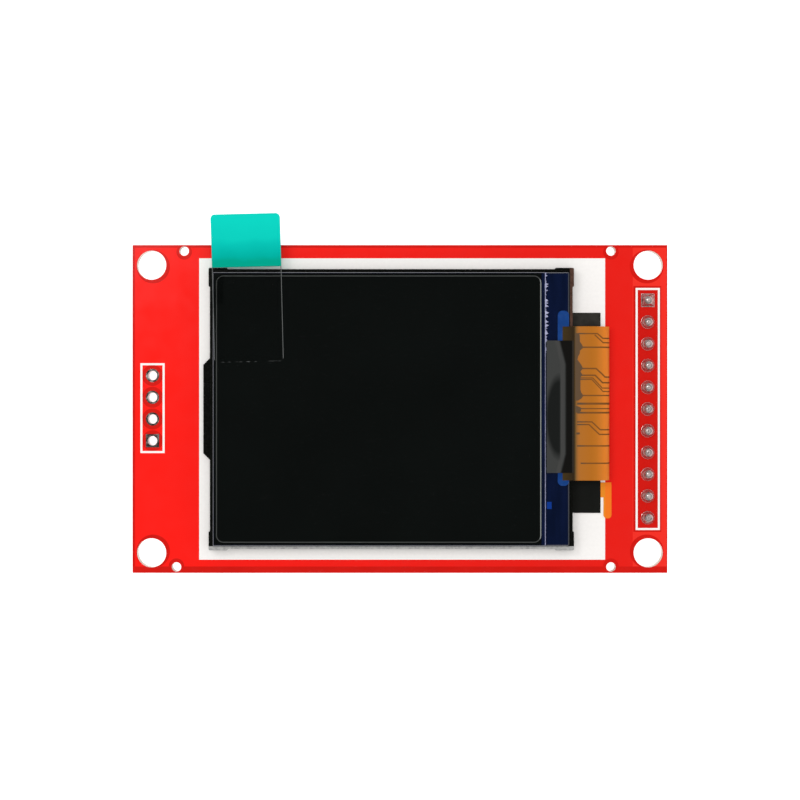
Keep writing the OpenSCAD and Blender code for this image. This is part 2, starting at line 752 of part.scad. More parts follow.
// Clears a slot in the top, with rounded ends
module top_slot(x0, x1, y, w) translate([0, 0, under_shell - cut]) linear_extrude(shell_t + 2 * cut)
    rounded(x0, y - w / 2, x1, y + w / 2, w / 4);

finger_x = 13.5;
finger_l = 7;
finger_w = 2;
finger_y = 7;
finger_dip = 0.35;
finger_gap = 0.6;
mouth_l = 2.4;
mouth_w = 11;
vent_d = 1.6;
vent_y = 4;
vent_in = 3;
catch_x = [8, 16.5];
catch_l = 2;
catch_h = 0.8;
catch_z = 1;
module socket_shell() color("silver") on_back() translate([sock_x, 0, 0]) {
    side = sock_w / 2;
    mid = under_shell + shell_t / 2;
    difference() {
        along(shell_l) difference() {
            fold_shape(sock_w, sock_h, shell_r, shell_lift);
            fold_shape(sock_w - 2 * shell_t, under_shell, shell_r - shell_t, shell_lift - cut);
        }
        top_slot(-mouth_l, mouth_l, 0, mouth_w);
        for (y = [-finger_y, finger_y])
            top_slot(finger_x - finger_l - finger_gap, finger_x, y, finger_w + 2 * finger_gap);
        for (y = [-vent_y, vent_y]) translate([shell_l - vent_in, y, under_shell - cut])
            cylinder(d = vent_d, h = shell_t + 2 * cut);
        for (x = catch_x) translate([x - gap, -side - cut, catch_z])
            cube([catch_l + 2 * gap, sock_w + 2 * cut, catch_h + 2 * gap]);
    }
    for (y = [-finger_y, finger_y]) translate([0, y, 0]) across(finger_w) polygon(strip([
        [finger_x + 0.02, mid], [finger_x - 0.5, mid], [finger_x - finger_l + 1, mid - finger_dip],
        [finger_x - finger_l, mid - finger_dip / 2]], shell_t));
    for (x = foot_x, m = [0, 1]) mirror([0, m, 0]) translate([x, side, 0]) {
        translate([0, -shell_t, coat_t]) cube([foot_l, shell_t, shell_lift]);
        translate([0, -shell_t, coat_t]) cube([foot_l, foot_out + shell_t, shell_t]);
    }
}

module socket_base() color("#222") on_back() translate([sock_x, 0, 0]) {
    half = base_w / 2;
    wall_x = sock_d - rear_l;
    step_x = wall_x + shell_lap + gap;
    difference() {
        union() {
            translate([base_in, 0, 0]) along(sock_d - base_in)
                fold_shape(base_w, under_shell, shell_r - shell_t, 0);
            for (x = catch_x) translate([x, -half - gap - shell_t / 2, catch_z + gap])
                cube([catch_l, base_w + 2 * gap + shell_t, catch_h]);
        }
        translate([base_in - cut, -slot_w / 2, floor_t])
            cube([wall_x - base_in + cut, slot_w, sock_h]);
        translate([base_in + well_in, -slot_w / 2 + well_side, -cut])
            cube([contact_slot_x0 - base_in - 2 * well_in, slot_w - 2 * well_side,
                floor_t + 2 * cut]);
        translate([step_x, -half - cut, under_shell - 0.5]) cube([rear_l, base_w + 2 * cut, 1]);
        for (i = [0:contacts - 1]) translate([0, contact_y(i), 0]) {
            translate([contact_slot_x0, -contact_slot_w / 2, -cut])
                cube([contact_root_x - contact_slot_x0, contact_slot_w, floor_t + 2 * cut]);
            translate([contact_slot_x0, -contact_w / 2, -cut])
                cube([sock_d, contact_w, coat_t + contact_t + cut]);
        }
    }
    for (y = [-peg_y, peg_y]) translate([peg_x, y, -peg_l]) cylinder(d = peg_d, h = peg_l + cut);
}

// Side view of one contact, from its soldered tail to its crowned tip
module contact_profile() {
    z = coat_t + contact_t / 2;
    crown = floor_t + contact_rise;
    crown_x = contact_x0 + 0.1 * contact_l;
    side = 0.045 * contact_l;
    shoulder = crown - contact_rise / 10;
    polygon(strip([
        [contact_x1, z], [contact_root_x - gap / 2, z], [crown_x + side, shoulder],
        [crown_x, crown], [crown_x - side, shoulder], [contact_x0, crown - contact_rise / 2]],
        contact_t));
}

module socket_contacts() color("gold") on_back() translate([sock_x, 0, 0])
    for (i = [0:contacts - 1]) translate([0, contact_y(i), 0]) across(contact_w) contact_profile();

// A wedge of solder of height h at the end of a lead, filling the corner towards +X
module wedge(l, w, h) across(w) polygon([[0, coat_t], [l, coat_t], [l * 0.4, coat_t + h * 0.4],
    [0, coat_t + h]]);

module socket_solder() color("#aaa") on_back() translate([sock_x, 0, 0]) {
    for (i = [0:contacts - 1]) translate([contact_x1, contact_y(i), 0])
        wedge(fillet_l, contact_w, contact_t);
    for (x = foot_x, m = [0, 1]) mirror([0, m, 0])
        translate([x + foot_l / 2, sock_w / 2 + foot_out, 0]) rotate([0, 0, 90])
            wedge(fillet_l, foot_l, shell_t);
}

// ---------- small parts on the back ----------

// A copper land of size s for a soldered end
module land(s) translate([-s.x / 2, -s.y / 2, 0]) cube([s.x, s.y, coat_t]);

module two_lands(l, w) for (x = [-1, 1])
    translate([x * (l - end_l + land_out) / 2, 0, 0]) land([end_l + land_out, w + gap]);

// Leg positions of a three-legged package: one leg on the left, two on the right
legs = [[-1, 0], [1, -leg_pitch / 2], [1, leg_pitch / 2]];

module back_pads() color("silver") on_back() {
    translate([sock_x, 0, 0]) {
        for (i = [0:contacts - 1]) translate([contact_x1, contact_y(i), 0])
            land([2 * fillet_l + land_out, contact_w + 2 * gap]);
        for (x = foot_x, y = [-1, 1])
            translate([x + foot_l / 2, y * (sock_w / 2 + foot_out / 2 + gap), 0])
                land([foot_l + 4 * gap, foot_out + 2 * fillet_l]);
    }
    for (p = resistor_at) translate(p) two_lands(resistor_l, resistor_w);
    for (p = capacitor_at) translate(p) two_lands(capacitor_l, capacitor_w);
    translate(jumper_at) two_lands(resistor_l, resistor_w);
    for (p = [regulator_at, transistor_at], g = legs) translate(p)
        translate([g.x * leg_span / 2, g.y, 0]) land([2 * land_out, leg_w + 2 * gap]);
}

module chip_bodies(at, l, w, h) on_back() for (p = at) translate(p)
    translate([end_l - l / 2, -w / 2, coat_t]) cube([l - 2 * end_l, w, h]);

module chip_ends(at, l, w, h) on_back() for (p = at, x = [-l / 2, l / 2 - end_l]) translate(p)
    translate([x, -w / 2, coat_t]) cube([end_l, w, h]);

module chip_solder(at, l, w, h) for (p = at, m = [0, 1]) translate(p) mirror([m, 0, 0])
    translate([l / 2, 0, 0]) wedge(fillet_l, w, h * 0.8);

module resistor_bodies() color("#222") chip_bodies(resistor_at, resistor_l, resistor_w, resistor_h);
module resistor_ends() color("silver") chip_ends(resistor_at, resistor_l, resistor_w, resistor_h);
module capacitor_bodies() color("#b85")
    chip_bodies(capacitor_at, capacitor_l, capacitor_w, capacitor_h);
module capacitor_ends() color("silver")
    chip_ends(capacitor_at, capacitor_l, capacitor_w, capacitor_h);

package_lift = 0.08;
leg_level = 0.5;
draft = 0.12;
module package_body() {
    z0 = coat_t + package_lift;
    z1 = z0 + package_h;
    waist = coat_t + leg_level;
    module side(w) polygon([[draft - w / 2, z0], [w / 2 - draft, z0], [w / 2, waist],
        [w / 2 - draft, z1], [draft - w / 2, z1], [-w / 2, waist]]);
    intersection() {
        across(package_l) side(package_w);
        rotate([0, 0, 90]) across(package_w) side(package_l);
    }
}

module package_legs() for (g = legs) translate([0, g.y, 0]) mirror([g.x < 0 ? 1 : 0, 0, 0]) {
    foot = leg_span / 2;
    across(leg_w) polygon(strip([
        [package_w / 2, coat_t + leg_level], [foot - 0.45, coat_t + leg_level],
        [foot - 0.35, coat_t + leg_t / 2], [foot, coat_t + leg_t / 2]], leg_t));
}

module regulator_body() color("#222") on_back() translate(regulator_at) package_body();
module regulator_legs() color("silver") on_back() translate(regulator_at) package_legs();
module transistor_body() color("#222") on_back() translate(transistor_at) package_body();
module transistor_legs() color("silver") on_back() translate(transistor_at) package_legs();

module small_part_solder() color("#aaa") on_back() {
    chip_solder(resistor_at, resistor_l, resistor_w, resistor_h);
    chip_solder(capacitor_at, capacitor_l, capacitor_w, capacitor_h);
    for (p = [regulator_at, transistor_at], g = legs) translate(p) translate([0, g.y, 0])
        mirror([g.x < 0 ? 1 : 0, 0, 0]) translate([leg_span / 2, 0, 0])
            wedge(fillet_l, leg_w, leg_t);
}

pcb();
front_silkscreen();
back_silkscreen();
row_plating();
header_plating();
front_pads();
back_pads();
header_insulator();
header_solder();
for (i = [1:header_pins])
    header_pin(i);
mounting_foam();
backlight_frame();
reflector_sheet();
light_guide();
diffuser_film();
prism_film_lower();
prism_film_upper();
rim_tape();
lamp_flex();
for (i = [1:lamps])
    lamp(i);
rear_polarizer();
lower_glass();
upper_glass();
front_polarizer();
protective_film();
pull_tab();
driver_chip();
display_flex();
bond_sealant();
ledge_tape();
flex_tape();
flex_solder();
socket_shell();
socket_base();
socket_contacts();
socket_solder();
regulator_body();
regulator_legs();
transistor_body();
transistor_legs();
resistor_bodies();
resistor_ends();
capacitor_bodies();
capacitor_ends();
small_part_solder();
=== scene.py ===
import math
import random

import bpy
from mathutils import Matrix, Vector


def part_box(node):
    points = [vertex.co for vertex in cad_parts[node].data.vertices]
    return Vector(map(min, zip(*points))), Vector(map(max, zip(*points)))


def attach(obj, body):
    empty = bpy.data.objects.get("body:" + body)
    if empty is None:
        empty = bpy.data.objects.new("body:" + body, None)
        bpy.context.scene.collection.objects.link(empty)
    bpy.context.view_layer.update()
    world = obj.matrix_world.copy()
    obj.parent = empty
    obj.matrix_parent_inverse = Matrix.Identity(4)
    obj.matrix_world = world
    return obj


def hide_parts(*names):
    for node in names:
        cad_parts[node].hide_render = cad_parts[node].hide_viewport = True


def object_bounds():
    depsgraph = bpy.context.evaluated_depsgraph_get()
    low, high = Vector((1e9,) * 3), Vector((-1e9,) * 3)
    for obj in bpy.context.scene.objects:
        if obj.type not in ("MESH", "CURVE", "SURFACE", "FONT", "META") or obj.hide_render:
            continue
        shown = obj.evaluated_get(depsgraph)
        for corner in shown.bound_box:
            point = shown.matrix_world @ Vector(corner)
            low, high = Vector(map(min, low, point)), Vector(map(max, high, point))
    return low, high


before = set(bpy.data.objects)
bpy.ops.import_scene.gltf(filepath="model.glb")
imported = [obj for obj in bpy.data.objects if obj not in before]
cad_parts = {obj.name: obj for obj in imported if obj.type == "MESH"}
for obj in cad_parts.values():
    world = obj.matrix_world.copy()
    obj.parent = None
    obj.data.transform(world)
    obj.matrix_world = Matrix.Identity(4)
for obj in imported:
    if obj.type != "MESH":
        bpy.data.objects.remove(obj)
cad_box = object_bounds()
bpy.ops.object.select_all(action="DESELECT")

# ---- Camera ----
# It hangs straight above the middle of the board, a quarter of a metre up, and its long lens
# keeps the sides of the small parts almost out of sight.
MM = 0.001
lens_data = bpy.data.cameras.new("camera")
lens_data.sensor_width = 36
lens_data.lens = 96.3
lens_data.clip_start = 0.01
camera = bpy.data.objects.new("camera", lens_data)
camera.location = (0.01 * MM, 1.05 * MM, 250 * MM)
bpy.context.scene.collection.objects.link(camera)
bpy.context.scene.camera = camera


# ---- Board ----
# Glass cloth and epoxy, pressed, drilled and routed, then curtain coated with red solder mask.
# The mask is glossy with a faint orange peel; the cut sides and the plain holes show the straw
# coloured laminate, and the holes of the two pin rows are plated through with tinned copper.
def linear(hex_colour):
    values = [int(hex_colour[i:i + 2], 16) / 255 for i in (1, 3, 5)]
    return [v / 12.92 if v <= 0.04045 else ((v + 0.055) / 1.055) ** 2.4 for v in values] + [1]


def add(tree, kind, inputs, **settings):
    made = tree.nodes.new("ShaderNode" + kind)
    for name, value in settings.items():
        setattr(made, name, value)
    for socket, value in inputs.items():
        if isinstance(value, bpy.types.NodeSocket):
            tree.links.new(value, made.inputs[socket])
        else:
            made.inputs[socket].default_value = value
    return made


def finish(name, sockets):
    material = bpy.data.materials.new(name)
    material.use_nodes = True
    tree = material.node_tree
    shader = tree.nodes["Principled BSDF"]
    for socket, value in sockets.items():
        shader.inputs[socket].default_value = value
    place = add(tree, "TexCoord", {}).outputs["Object"]
    return material, tree, shader, place


def wear(tree, shader, place, colours, grain, rough=None, bump=0.0):
    # Two close tones in soft patches, a roughness range and a relief, all on the same grain
    noise = add(tree, "TexNoise", {"Vector": place, "Scale": 1 / grain, "Detail": 3})
    if colours:
        tone = add(tree, "Mix", {0: noise.outputs["Fac"], 6: linear(colours[0]),
                                 7: linear(colours[1])}, data_type="RGBA")
        tree.links.new(tone.outputs[2], shader.inputs["Base Color"])
    if rough:
        span = add(tree, "MapRange", {"Value": noise.outputs["Fac"], "From Min": 0.3,
                                      "From Max": 0.7, "To Min": rough[0], "To Max": rough[1]})
        tree.links.new(span.outputs["Result"], shader.inputs["Roughness"])
    if bump:
        relief = add(tree, "Bump", {"Height": noise.outputs["Fac"], "Strength": 0.4,
                                    "Distance": bump})
        tree.links.new(relief.outputs["Normal"], shader.inputs["Normal"])
    return noise.outputs["Fac"]


def dress(material, *names):
    for name in names:
        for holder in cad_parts[name].material_slots:
            holder.material = material


board_t = 1.6 * MM
mask_t = 0.03 * MM
row_x = -28.9 * MM
barrel_half = 0.7 * MM
row_half = 6 * MM
solder_mask, tree, shader, place = finish("red_solder_mask", {"IOR": 1.52,
                                                              "Specular IOR Level": 0.2})
wear(tree, shader, place, None, 0.9 * MM, (0.14, 0.2), 0.002 * MM)
centred = add(tree, "VectorMath", {0: place, 1: (row_x, 0, -board_t / 2)},
              operation="SUBTRACT").outputs[0]
away = add(tree, "VectorMath", {0: centred}, operation="ABSOLUTE").outputs[0]
away = add(tree, "SeparateXYZ", {0: away}).outputs
coated = add(tree, "Math", {0: away["Z"], 1: board_t / 2 - mask_t},
             operation="GREATER_THAN").outputs[0]
at_row = add(tree, "Math", {0: away["X"], 1: barrel_half}, operation="LESS_THAN").outputs[0]
along_row = add(tree, "Math", {0: away["Y"], 1: row_half}, operation="LESS_THAN").outputs[0]
plated = add(tree, "Math", {0: at_row, 1: along_row}, operation="MULTIPLY").outputs[0]
layers = add(tree, "TexNoise", {"Vector": add(tree, "Mapping", {
    "Vector": place, "Scale": (1, 1, 12)}).outputs[0], "Scale": 1 / (1.5 * MM)}).outputs["Fac"]
cloudy = add(tree, "TexNoise", {"Vector": place, "Scale": 1 / (6 * MM)}).outputs["Fac"]
laminate = add(tree, "Mix", {0: layers, 6: linear("#8f7a44"), 7: linear("#cdb884")},
               data_type="RGBA").outputs[2]
# Painted shade: the walls of the plated holes are given a dark grey base for the shade inside them.
wall = add(tree, "Mix", {0: plated, 6: laminate, 7: linear("#57524d")},
           data_type="RGBA").outputs[2]
bare_mask = add(tree, "Mix", {0: cloudy, 6: linear("#b8120c"), 7: linear("#cc1a12")},
                data_type="RGBA").outputs[2]
skin = add(tree, "Mix", {0: coated, 6: wall, 7: bare_mask}, data_type="RGBA").outputs[2]
tree.links.new(skin, shader.inputs["Base Color"])
metal = add(tree, "Math", {0: plated, 1: coated}, operation="SUBTRACT",
            use_clamp=True).outputs[0]
tree.links.new(metal, shader.inputs["Metallic"])
dress(solder_mask, "pcb")


# ---- Copper under the mask ----
# The copper plane etched on the front lifts the mask by a hundredth of a millimetre and shines
# through it as a brighter red. It stops short of the edges, of every hole and of the header.
def last():
    return bpy.context.view_layer.objects.active


def box_between(name, low, high):
    bpy.ops.object.select_all(action="DESELECT")
    middle = [(a + b) / 2 for a, b in zip(low, high)]
    bpy.ops.mesh.primitive_cube_add(size=1, location=middle)
    made = last()
    made.name = name
    made.scale = [b - a for a, b in zip(low, high)]
    bpy.ops.object.transform_apply(location=True, rotation=True, scale=True)
    return made


def cylinder_at(name, x, y, z, radius, height, sides=32):
    bpy.ops.object.select_all(action="DESELECT")
    bpy.ops.mesh.primitive_cylinder_add(vertices=sides, radius=radius, depth=height,
                                        location=(x, y, z + height / 2))
    made = last()
    made.name = name
    bpy.ops.object.transform_apply(location=True, rotation=True, scale=True)
    return made


def join(name, pieces):
    bpy.ops.object.select_all(action="DESELECT")
    for piece in pieces:
        piece.select_set(True)
    bpy.context.view_layer.objects.active = pieces[0]
    if len(pieces) > 1:
        bpy.ops.object.join()
    pieces[0].name = name
    return pieces[0]


def cut(piece, tool):
    # Takes the tool out of the piece, and drops it
    bpy.ops.object.select_all(action="DESELECT")
    piece.select_set(True)
    bpy.context.view_layer.objects.active = piece
    carve = piece.modifiers.new("carve", "BOOLEAN")
    carve.operation = "DIFFERENCE"
    carve.solver = "EXACT"
    carve.use_self = True
    carve.object = tool
    bpy.ops.object.modifier_apply(modifier=carve.name)
    bpy.data.objects.remove(tool)


def fix(piece, material):
    piece.data.materials.clear()
    piece.data.materials.append(material)
    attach(piece, "root")


board_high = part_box("pcb")[1]
header_x = 28.95 * MM
pitch = 2.54 * MM
header_y = [(5 - i) * pitch for i in range(11)]
row_y = [(3.91 - 2.54 * i) * MM for i in range(4)]
tooling = [(-25.2, 18.45), (24.65, 18.45), (-26.1, -18.45), (24.65, -18.45)]
copper_t = 0.012 * MM
edge_clear = 0.3 * MM
mount_x, mount_y, mount_clear_r = 28.83 * MM, 16.63 * MM, 1.96 * MM
tooling_shift, tooling_clear_r = 0.1 * MM, 0.9 * MM
row_clear_r = 1.23 * MM

front_copper = box_between("front_copper_relief", (edge_clear - board_high[0], -18.4 * MM, 0),
                           (board_high[0] - 0.1 * MM, board_high[1] - edge_clear, copper_t))
tools = [box_between("window", (27.27 * MM, -14.36 * MM, -copper_t),
                     (30.52 * MM, 14.36 * MM, 2 * copper_t))]
tools += [cylinder_at("hole", sx * mount_x, sy * mount_y, -copper_t, mount_clear_r, 3 * copper_t,
                      sides=48) for sx in (-1, 1) for sy in (-1, 1)]
tools += [cylinder_at("hole", x * MM, y * MM - math.copysign(tooling_shift, y), -copper_t,
                      tooling_clear_r, 3 * copper_t) for x, y in tooling]
tools += [cylinder_at("hole", row_x, y, -copper_t, row_clear_r, 3 * copper_t) for y in row_y]
for tool in tools:
    cut(front_copper, tool)
copper_red, tree, shader, place = finish("mask_over_copper", {"IOR": 1.52,
                                                              "Specular IOR Level": 0.2})
wear(tree, shader, place, None, 2 * MM, (0.14, 0.2), 0.0015 * MM)
axes = add(tree, "SeparateXYZ", {0: place}).outputs
cloudy = add(tree, "TexNoise", {"Vector": place, "Scale": 1 / (8 * MM)}).outputs["Fac"]
# Painted light: the red is painted lighter at the left and darker towards the right, with soft
# clouds over it.
across = add(tree, "MapRange", {"Value": axes["X"], "From Min": -24 * MM, "From Max": 24 * MM,
                                "To Max": 0.8}).outputs["Result"]
clouds_and_light_fall = add(tree, "Math", {0: cloudy, 1: 0.3, 2: across}, operation="MULTIPLY_ADD").outputs[0]
red = add(tree, "Mix", {0: clouds_and_light_fall, 6: linear("#ee1b15"), 7: linear("#d61d16")},
          data_type="RGBA").outputs[2]
banded = add(tree, "Math", {0: axes["X"], 1: 27.2 * MM}, operation="GREATER_THAN").outputs[0]
red = add(tree, "Mix", {0: banded, 6: red, 7: linear("#e22d23")}, data_type="RGBA").outputs[2]
tree.links.new(red, shader.inputs["Base Color"])
fix(front_copper, copper_red)


# ---- Printed ink ----
# White ink pressed through a screen: a solid field under the display and thin boxes round the
# pin rows. It dries matt, with a fine grain and slightly soft edges.
white_ink, tree, shader, place = finish("screen_printed_ink", {"IOR": 1.48})
wear(tree, shader, place, ("#e3e0dd", "#ece9e6"), 0.35 * MM, (0.55, 0.7), 0.003 * MM)
dress(white_ink, "front_silkscreen", "back_silkscreen")

# ---- Tinned pads ----
# Copper rings and lands with a levelled coat of tin, which goes dull and slightly mottled.
tinned, tree, shader, place = finish("levelled_tin", {"Metallic": 1.0})
wear(tree, shader, place, ("#a8a29c", "#d2cdc8"), 0.25 * MM, (0.22, 0.42), 0.01 * MM)
dress(tinned, "header_plating", "front_pads", "back_pads", "regulator_legs",
      "transistor_legs", "resistor_ends", "capacitor_ends")
bright_tin, tree, shader, place = finish("reflowed_tin", {"Metallic": 1.0})
wear(tree, shader, place, ("#6d6864", "#d8d2cb"), 0.45 * MM, (0.1, 0.24), 0.012 * MM)
dress(bright_tin, "row_plating")

# ---- Solder ----
# Tin alloy that froze as a smooth concave cone round every pin and lead, bright as a mirror
# with a faint frost from the grains.
solder, tree, shader, place = finish("frozen_solder", {"Metallic": 1.0})
wear(tree, shader, place, ("#b5adab", "#ddd6d3"), 0.3 * MM, (0.12, 0.3), 0.02 * MM)
dress(solder, "header_solder", "flex_solder", "socket_solder", "small_part_solder")

# Each joint of the header rises in a cone that closes over the tip of its pin, given here by the
# radius and height of its rings. The first pad is square, and its cone is drawn in at the sides.
profile = [(0.765, 0.034), (0.75, 0.14), (0.715, 0.30), (0.665, 0.48), (0.60, 0.66),
           (0.53, 0.84), (0.46, 0.99), (0.34, 1.11), (0.18, 1.18)]
square_half, drawn_in, round_r = 0.76, 0.2, 0.5


def solder_dome(name, x, y, square_pad, turn):
    bpy.ops.object.select_all(action="DESELECT")
    bpy.ops.mesh.primitive_circle_add(vertices=32, radius=profile[0][0] * MM, fill_type="NGON",
                                      location=(x, y, profile[0][1] * MM))
    dome = last()
    dome.name = name
    bpy.ops.object.transform_apply(location=True, rotation=True, scale=True)
    bpy.ops.object.mode_set(mode="EDIT")
    bpy.ops.mesh.select_all(action="SELECT")
    for (r0, z0), (r1, z1) in zip(profile, profile[1:]):
        step = (turn[0] * (r0 - r1), turn[1] * (r0 - r1), (z1 - z0) * MM)
        bpy.ops.mesh.extrude_region_move(TRANSFORM_OT_translate={"value": step})
        bpy.ops.transform.resize(value=(r1 / r0, r1 / r0, 1), center_override=(x, y, 0))
    bpy.ops.mesh.poke()
    bpy.ops.object.mode_set(mode="OBJECT")
    if square_pad:
        for vertex in dome.data.vertices:
            dx, dy = (vertex.co.x - x) / MM, (vertex.co.y - y) / MM
            reach = math.hypot(dx, dy)
            pull = max(0.0, (reach - round_r) / 0.272)
            if pull:
                c, s = abs(dx) / reach, abs(dy) / reach
                star = square_half / max(c, s) * (1 - drawn_in * (1 - 2 * c * s)) / profile[0][0]
                grow = 1 + min(pull, 1) * (star - 1)
                vertex.co.x, vertex.co.y = x + dx * grow * MM, y + dy * grow * MM
    bpy.ops.object.shade_smooth()
    return dome


lean = random.Random(4)
domes = [solder_dome("dome", header_x, y, i == 0,
                     (lean.uniform(-0.12, 0.12) * MM, lean.uniform(-0.12, 0.12) * MM))
         for i, y in enumerate(header_y)]
frosted, tree, shader, place = finish("frosted_solder", {"Metallic": 0.85})
wear(tree, shader, place, ("#6d5a5f", "#e0d2cc"), 0.35 * MM, (0.12, 0.32), 0.12 * MM)
fix(join("solder_domes", domes), frosted)

# ---- Pins and contacts ----
# Square brass wire and stamped spring bronze with a thin flash of gold, drawn smooth.
gold, tree, shader, place = finish("gold_flash", {"Metallic": 1.0})
wear(tree, shader, place, ("#c79a3c", "#e6c46c"), 0.6 * MM, (0.2, 0.34))
dress(gold, "socket_contacts", *["header_pin_%02d" % i for i in range(1, 12)])

# ---- Black mouldings ----
# Glass-filled nylon for the header strip and liquid crystal polymer for the socket's base: both
# moulded in black with a spark-eroded texture of about a tenth of a millimetre.
moulding, tree, shader, place = finish("moulded_nylon", {"IOR": 1.5})
wear(tree, shader, place, ("#121212", "#1e1e1f"), 0.12 * MM, (0.4, 0.6), 0.01 * MM)
dress(moulding, "header_insulator", "socket_base")

# ---- Foam tape ----
# White closed-cell foam with adhesive on both faces; its cut sides show the cells.
foam, tree, shader, place = finish("closed_cell_foam", {"Roughness": 0.85})
wear(tree, shader, place, ("#c9c7c2", "#efedea"), 0.15 * MM, None, 0.03 * MM)
dress(foam, "mounting_foam")

# ---- Backlight frame ----
# Black polycarbonate, moulded with a fine matt texture. Its thin rim stands round the glass.
frame_black, tree, shader, place = finish("moulded_polycarbonate", {"IOR": 1.5,
                                                                   "Specular IOR Level": 0.12})
wear(tree, shader, place, None, 0.4 * MM, (0.1, 0.2), 0.002 * MM)
axes = add(tree, "SeparateXYZ", {0: place}).outputs
rim_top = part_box("backlight_frame")[1][2]
raised = add(tree, "Math", {0: axes["Z"], 1: rim_top - 0.1 * MM},
             operation="GREATER_THAN").outputs[0]
lower = add(tree, "Math", {0: axes["Y"], 1: -15.88 * MM}, operation="LESS_THAN").outputs[0]
lower_rim = add(tree, "Math", {0: raised, 1: lower}, operation="MULTIPLY").outputs[0]
at_end = add(tree, "Math", {0: axes["X"], 1: 19.68 * MM}, operation="GREATER_THAN").outputs[0]
upper = add(tree, "Math", {0: axes["Y"], 1: 8.8 * MM}, operation="GREATER_THAN").outputs[0]
end_rim = add(tree, "Math", {0: at_end, 1: upper}, operation="MULTIPLY").outputs[0]
end_rim = add(tree, "Math", {0: raised, 1: end_rim}, operation="MULTIPLY").outputs[0]
grain = add(tree, "TexNoise", {"Vector": place, "Scale": 1 / (0.3 * MM)}).outputs["Fac"]
black = add(tree, "Mix", {0: grain, 6: linear("#060705"), 7: linear("#0f100e")},
            data_type="RGBA").outputs[2]
# Painted highlight: the top of the lower rim is painted light grey where it catches the light.
rim_highlight = add(tree, "Mix", {0: grain, 6: linear("#6d6d6c"), 7: linear("#b9b9b7")},
              data_type="RGBA").outputs[2]
brown = add(tree, "Mix", {0: grain, 6: linear("#2a1c16"), 7: linear("#5e453b")},
            data_type="RGBA").outputs[2]
tone = add(tree, "Mix", {0: lower_rim, 6: black, 7: rim_highlight}, data_type="RGBA").outputs[2]
tone = add(tree, "Mix", {0: end_rim, 6: tone, 7: brown}, data_type="RGBA").outputs[2]
tree.links.new(tone, shader.inputs["Base Color"])
dress(frame_black, "backlight_frame")

# ---- Backlight sheets ----
# A silvered reflector, a clear acrylic light guide and three milky films, stacked dry.
silvered, tree, shader, place = finish("silvered_film", {"Metallic": 0.6})
wear(tree, shader, place, ("#dfe3e4", "#f4f6f6"), 2 * MM, (0.2, 0.35))
dress(silvered, "reflector_sheet")
acrylic, tree, shader, place = finish("clear_acrylic", {"IOR": 1.49, "Transmission Weight": 0.7})
wear(tree, shader, place, ("#d8e4e8", "#eef4f5"), 1 * MM, (0.05, 0.2))
dress(acrylic, "light_guide")
milky, tree, shader, place = finish("prismatic_film", {"IOR": 1.58, "Transmission Weight": 0.3})
wear(tree, shader, place, ("#d9dee2", "#f2f4f6"), 0.3 * MM, (0.35, 0.55))
dress(milky, "diffuser_film", "prism_film_lower", "prism_film_upper")
lamp_white, tree, shader, place = finish("lamp_moulding", {"IOR": 1.5})
wear(tree, shader, place, ("#e9e2c0", "#f7f4e6"), 0.4 * MM, (0.3, 0.5))
dress(lamp_white, "lamp_01", "lamp_02", "lamp_03", "lamp_04")

# ---- Black tapes ----
# Thin polyester tape with a matt black coat, used round the window of the backlight and over
# the flex behind the display.
black_tape, tree, shader, place = finish("matt_polyester_tape", {"IOR": 1.5,
                                                                 "Specular IOR Level": 0.1})
grain = wear(tree, shader, place, None, 1.2 * MM, (0.35, 0.5), 0.01 * MM)
axes = add(tree, "SeparateXYZ", {0: place}).outputs
# The tape is lighter towards the top, in patches on the grain.
upwards = add(tree, "MapRange", {"Value": axes["Y"], "From Min": -8 * MM,
                                 "From Max": 8 * MM}).outputs["Result"]
patchy_upwards = add(tree, "Math", {0: grain, 1: upwards}, operation="MULTIPLY").outputs[0]
tone = add(tree, "Mix", {0: patchy_upwards, 6: linear("#0b0c09"), 7: linear("#3b3833")},
           data_type="RGBA").outputs[2]
tree.links.new(tone, shader.inputs["Base Color"])
dress(black_tape, "rim_tape", "flex_tape")

# ---- Display glass ----
# Two plates of thin glass, scribed and snapped, over a dark liquid crystal cell. The cut edges
# are painted grey, a painted highlight where they catch the light, darker on the side of the flex;
# the bare ledge beside the upper plate is deep navy in streaks, a painted reflection.
glass, tree, shader, place = finish("display_glass", {"IOR": 1.52, "Roughness": 0.04})
axes = add(tree, "SeparateXYZ", {0: place}).outputs
glass_low, glass_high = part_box("lower_glass")
# Painted reflection: the bare ledge is painted in navy streaks.
reflection_streaks = add(tree, "TexNoise", {"Vector": add(tree, "Mapping", {
    "Vector": place, "Scale": (1, 0.15, 1)}).outputs[0], "Scale": 1 / (1.2 * MM), "Detail": 4})
navy = add(tree, "Mix", {0: reflection_streaks.outputs["Fac"], 6: linear("#02060f"), 7: linear("#0f1a3c")},
           data_type="RGBA").outputs[2]
rim, flex_rim = 0.06 * MM, 0.14 * MM
# Painted highlight: a thin band along the cut edges is painted grey, darker on the side of the
# flex.
off_middle = add(tree, "Math", {0: axes["Y"]}, operation="ABSOLUTE").outputs[0]
long_sides = add(tree, "Math", {0: off_middle, 1: glass_high[1] - rim},
                 operation="GREATER_THAN").outputs[0]
far_side = add(tree, "Math", {0: axes["X"], 1: glass_low[0] + rim},
               operation="LESS_THAN").outputs[0]
sides = add(tree, "Math", {0: long_sides, 1: far_side}, operation="MAXIMUM").outputs[0]
edge = add(tree, "Mix", {0: sides, 6: navy, 7: linear("#77777a")}, data_type="RGBA").outputs[2]
flex_side = add(tree, "Math", {0: axes["X"], 1: glass_high[0] - flex_rim},
                operation="GREATER_THAN").outputs[0]
edge = add(tree, "Mix", {0: flex_side, 6: edge, 7: linear("#3c3d41")},
           data_type="RGBA").outputs[2]

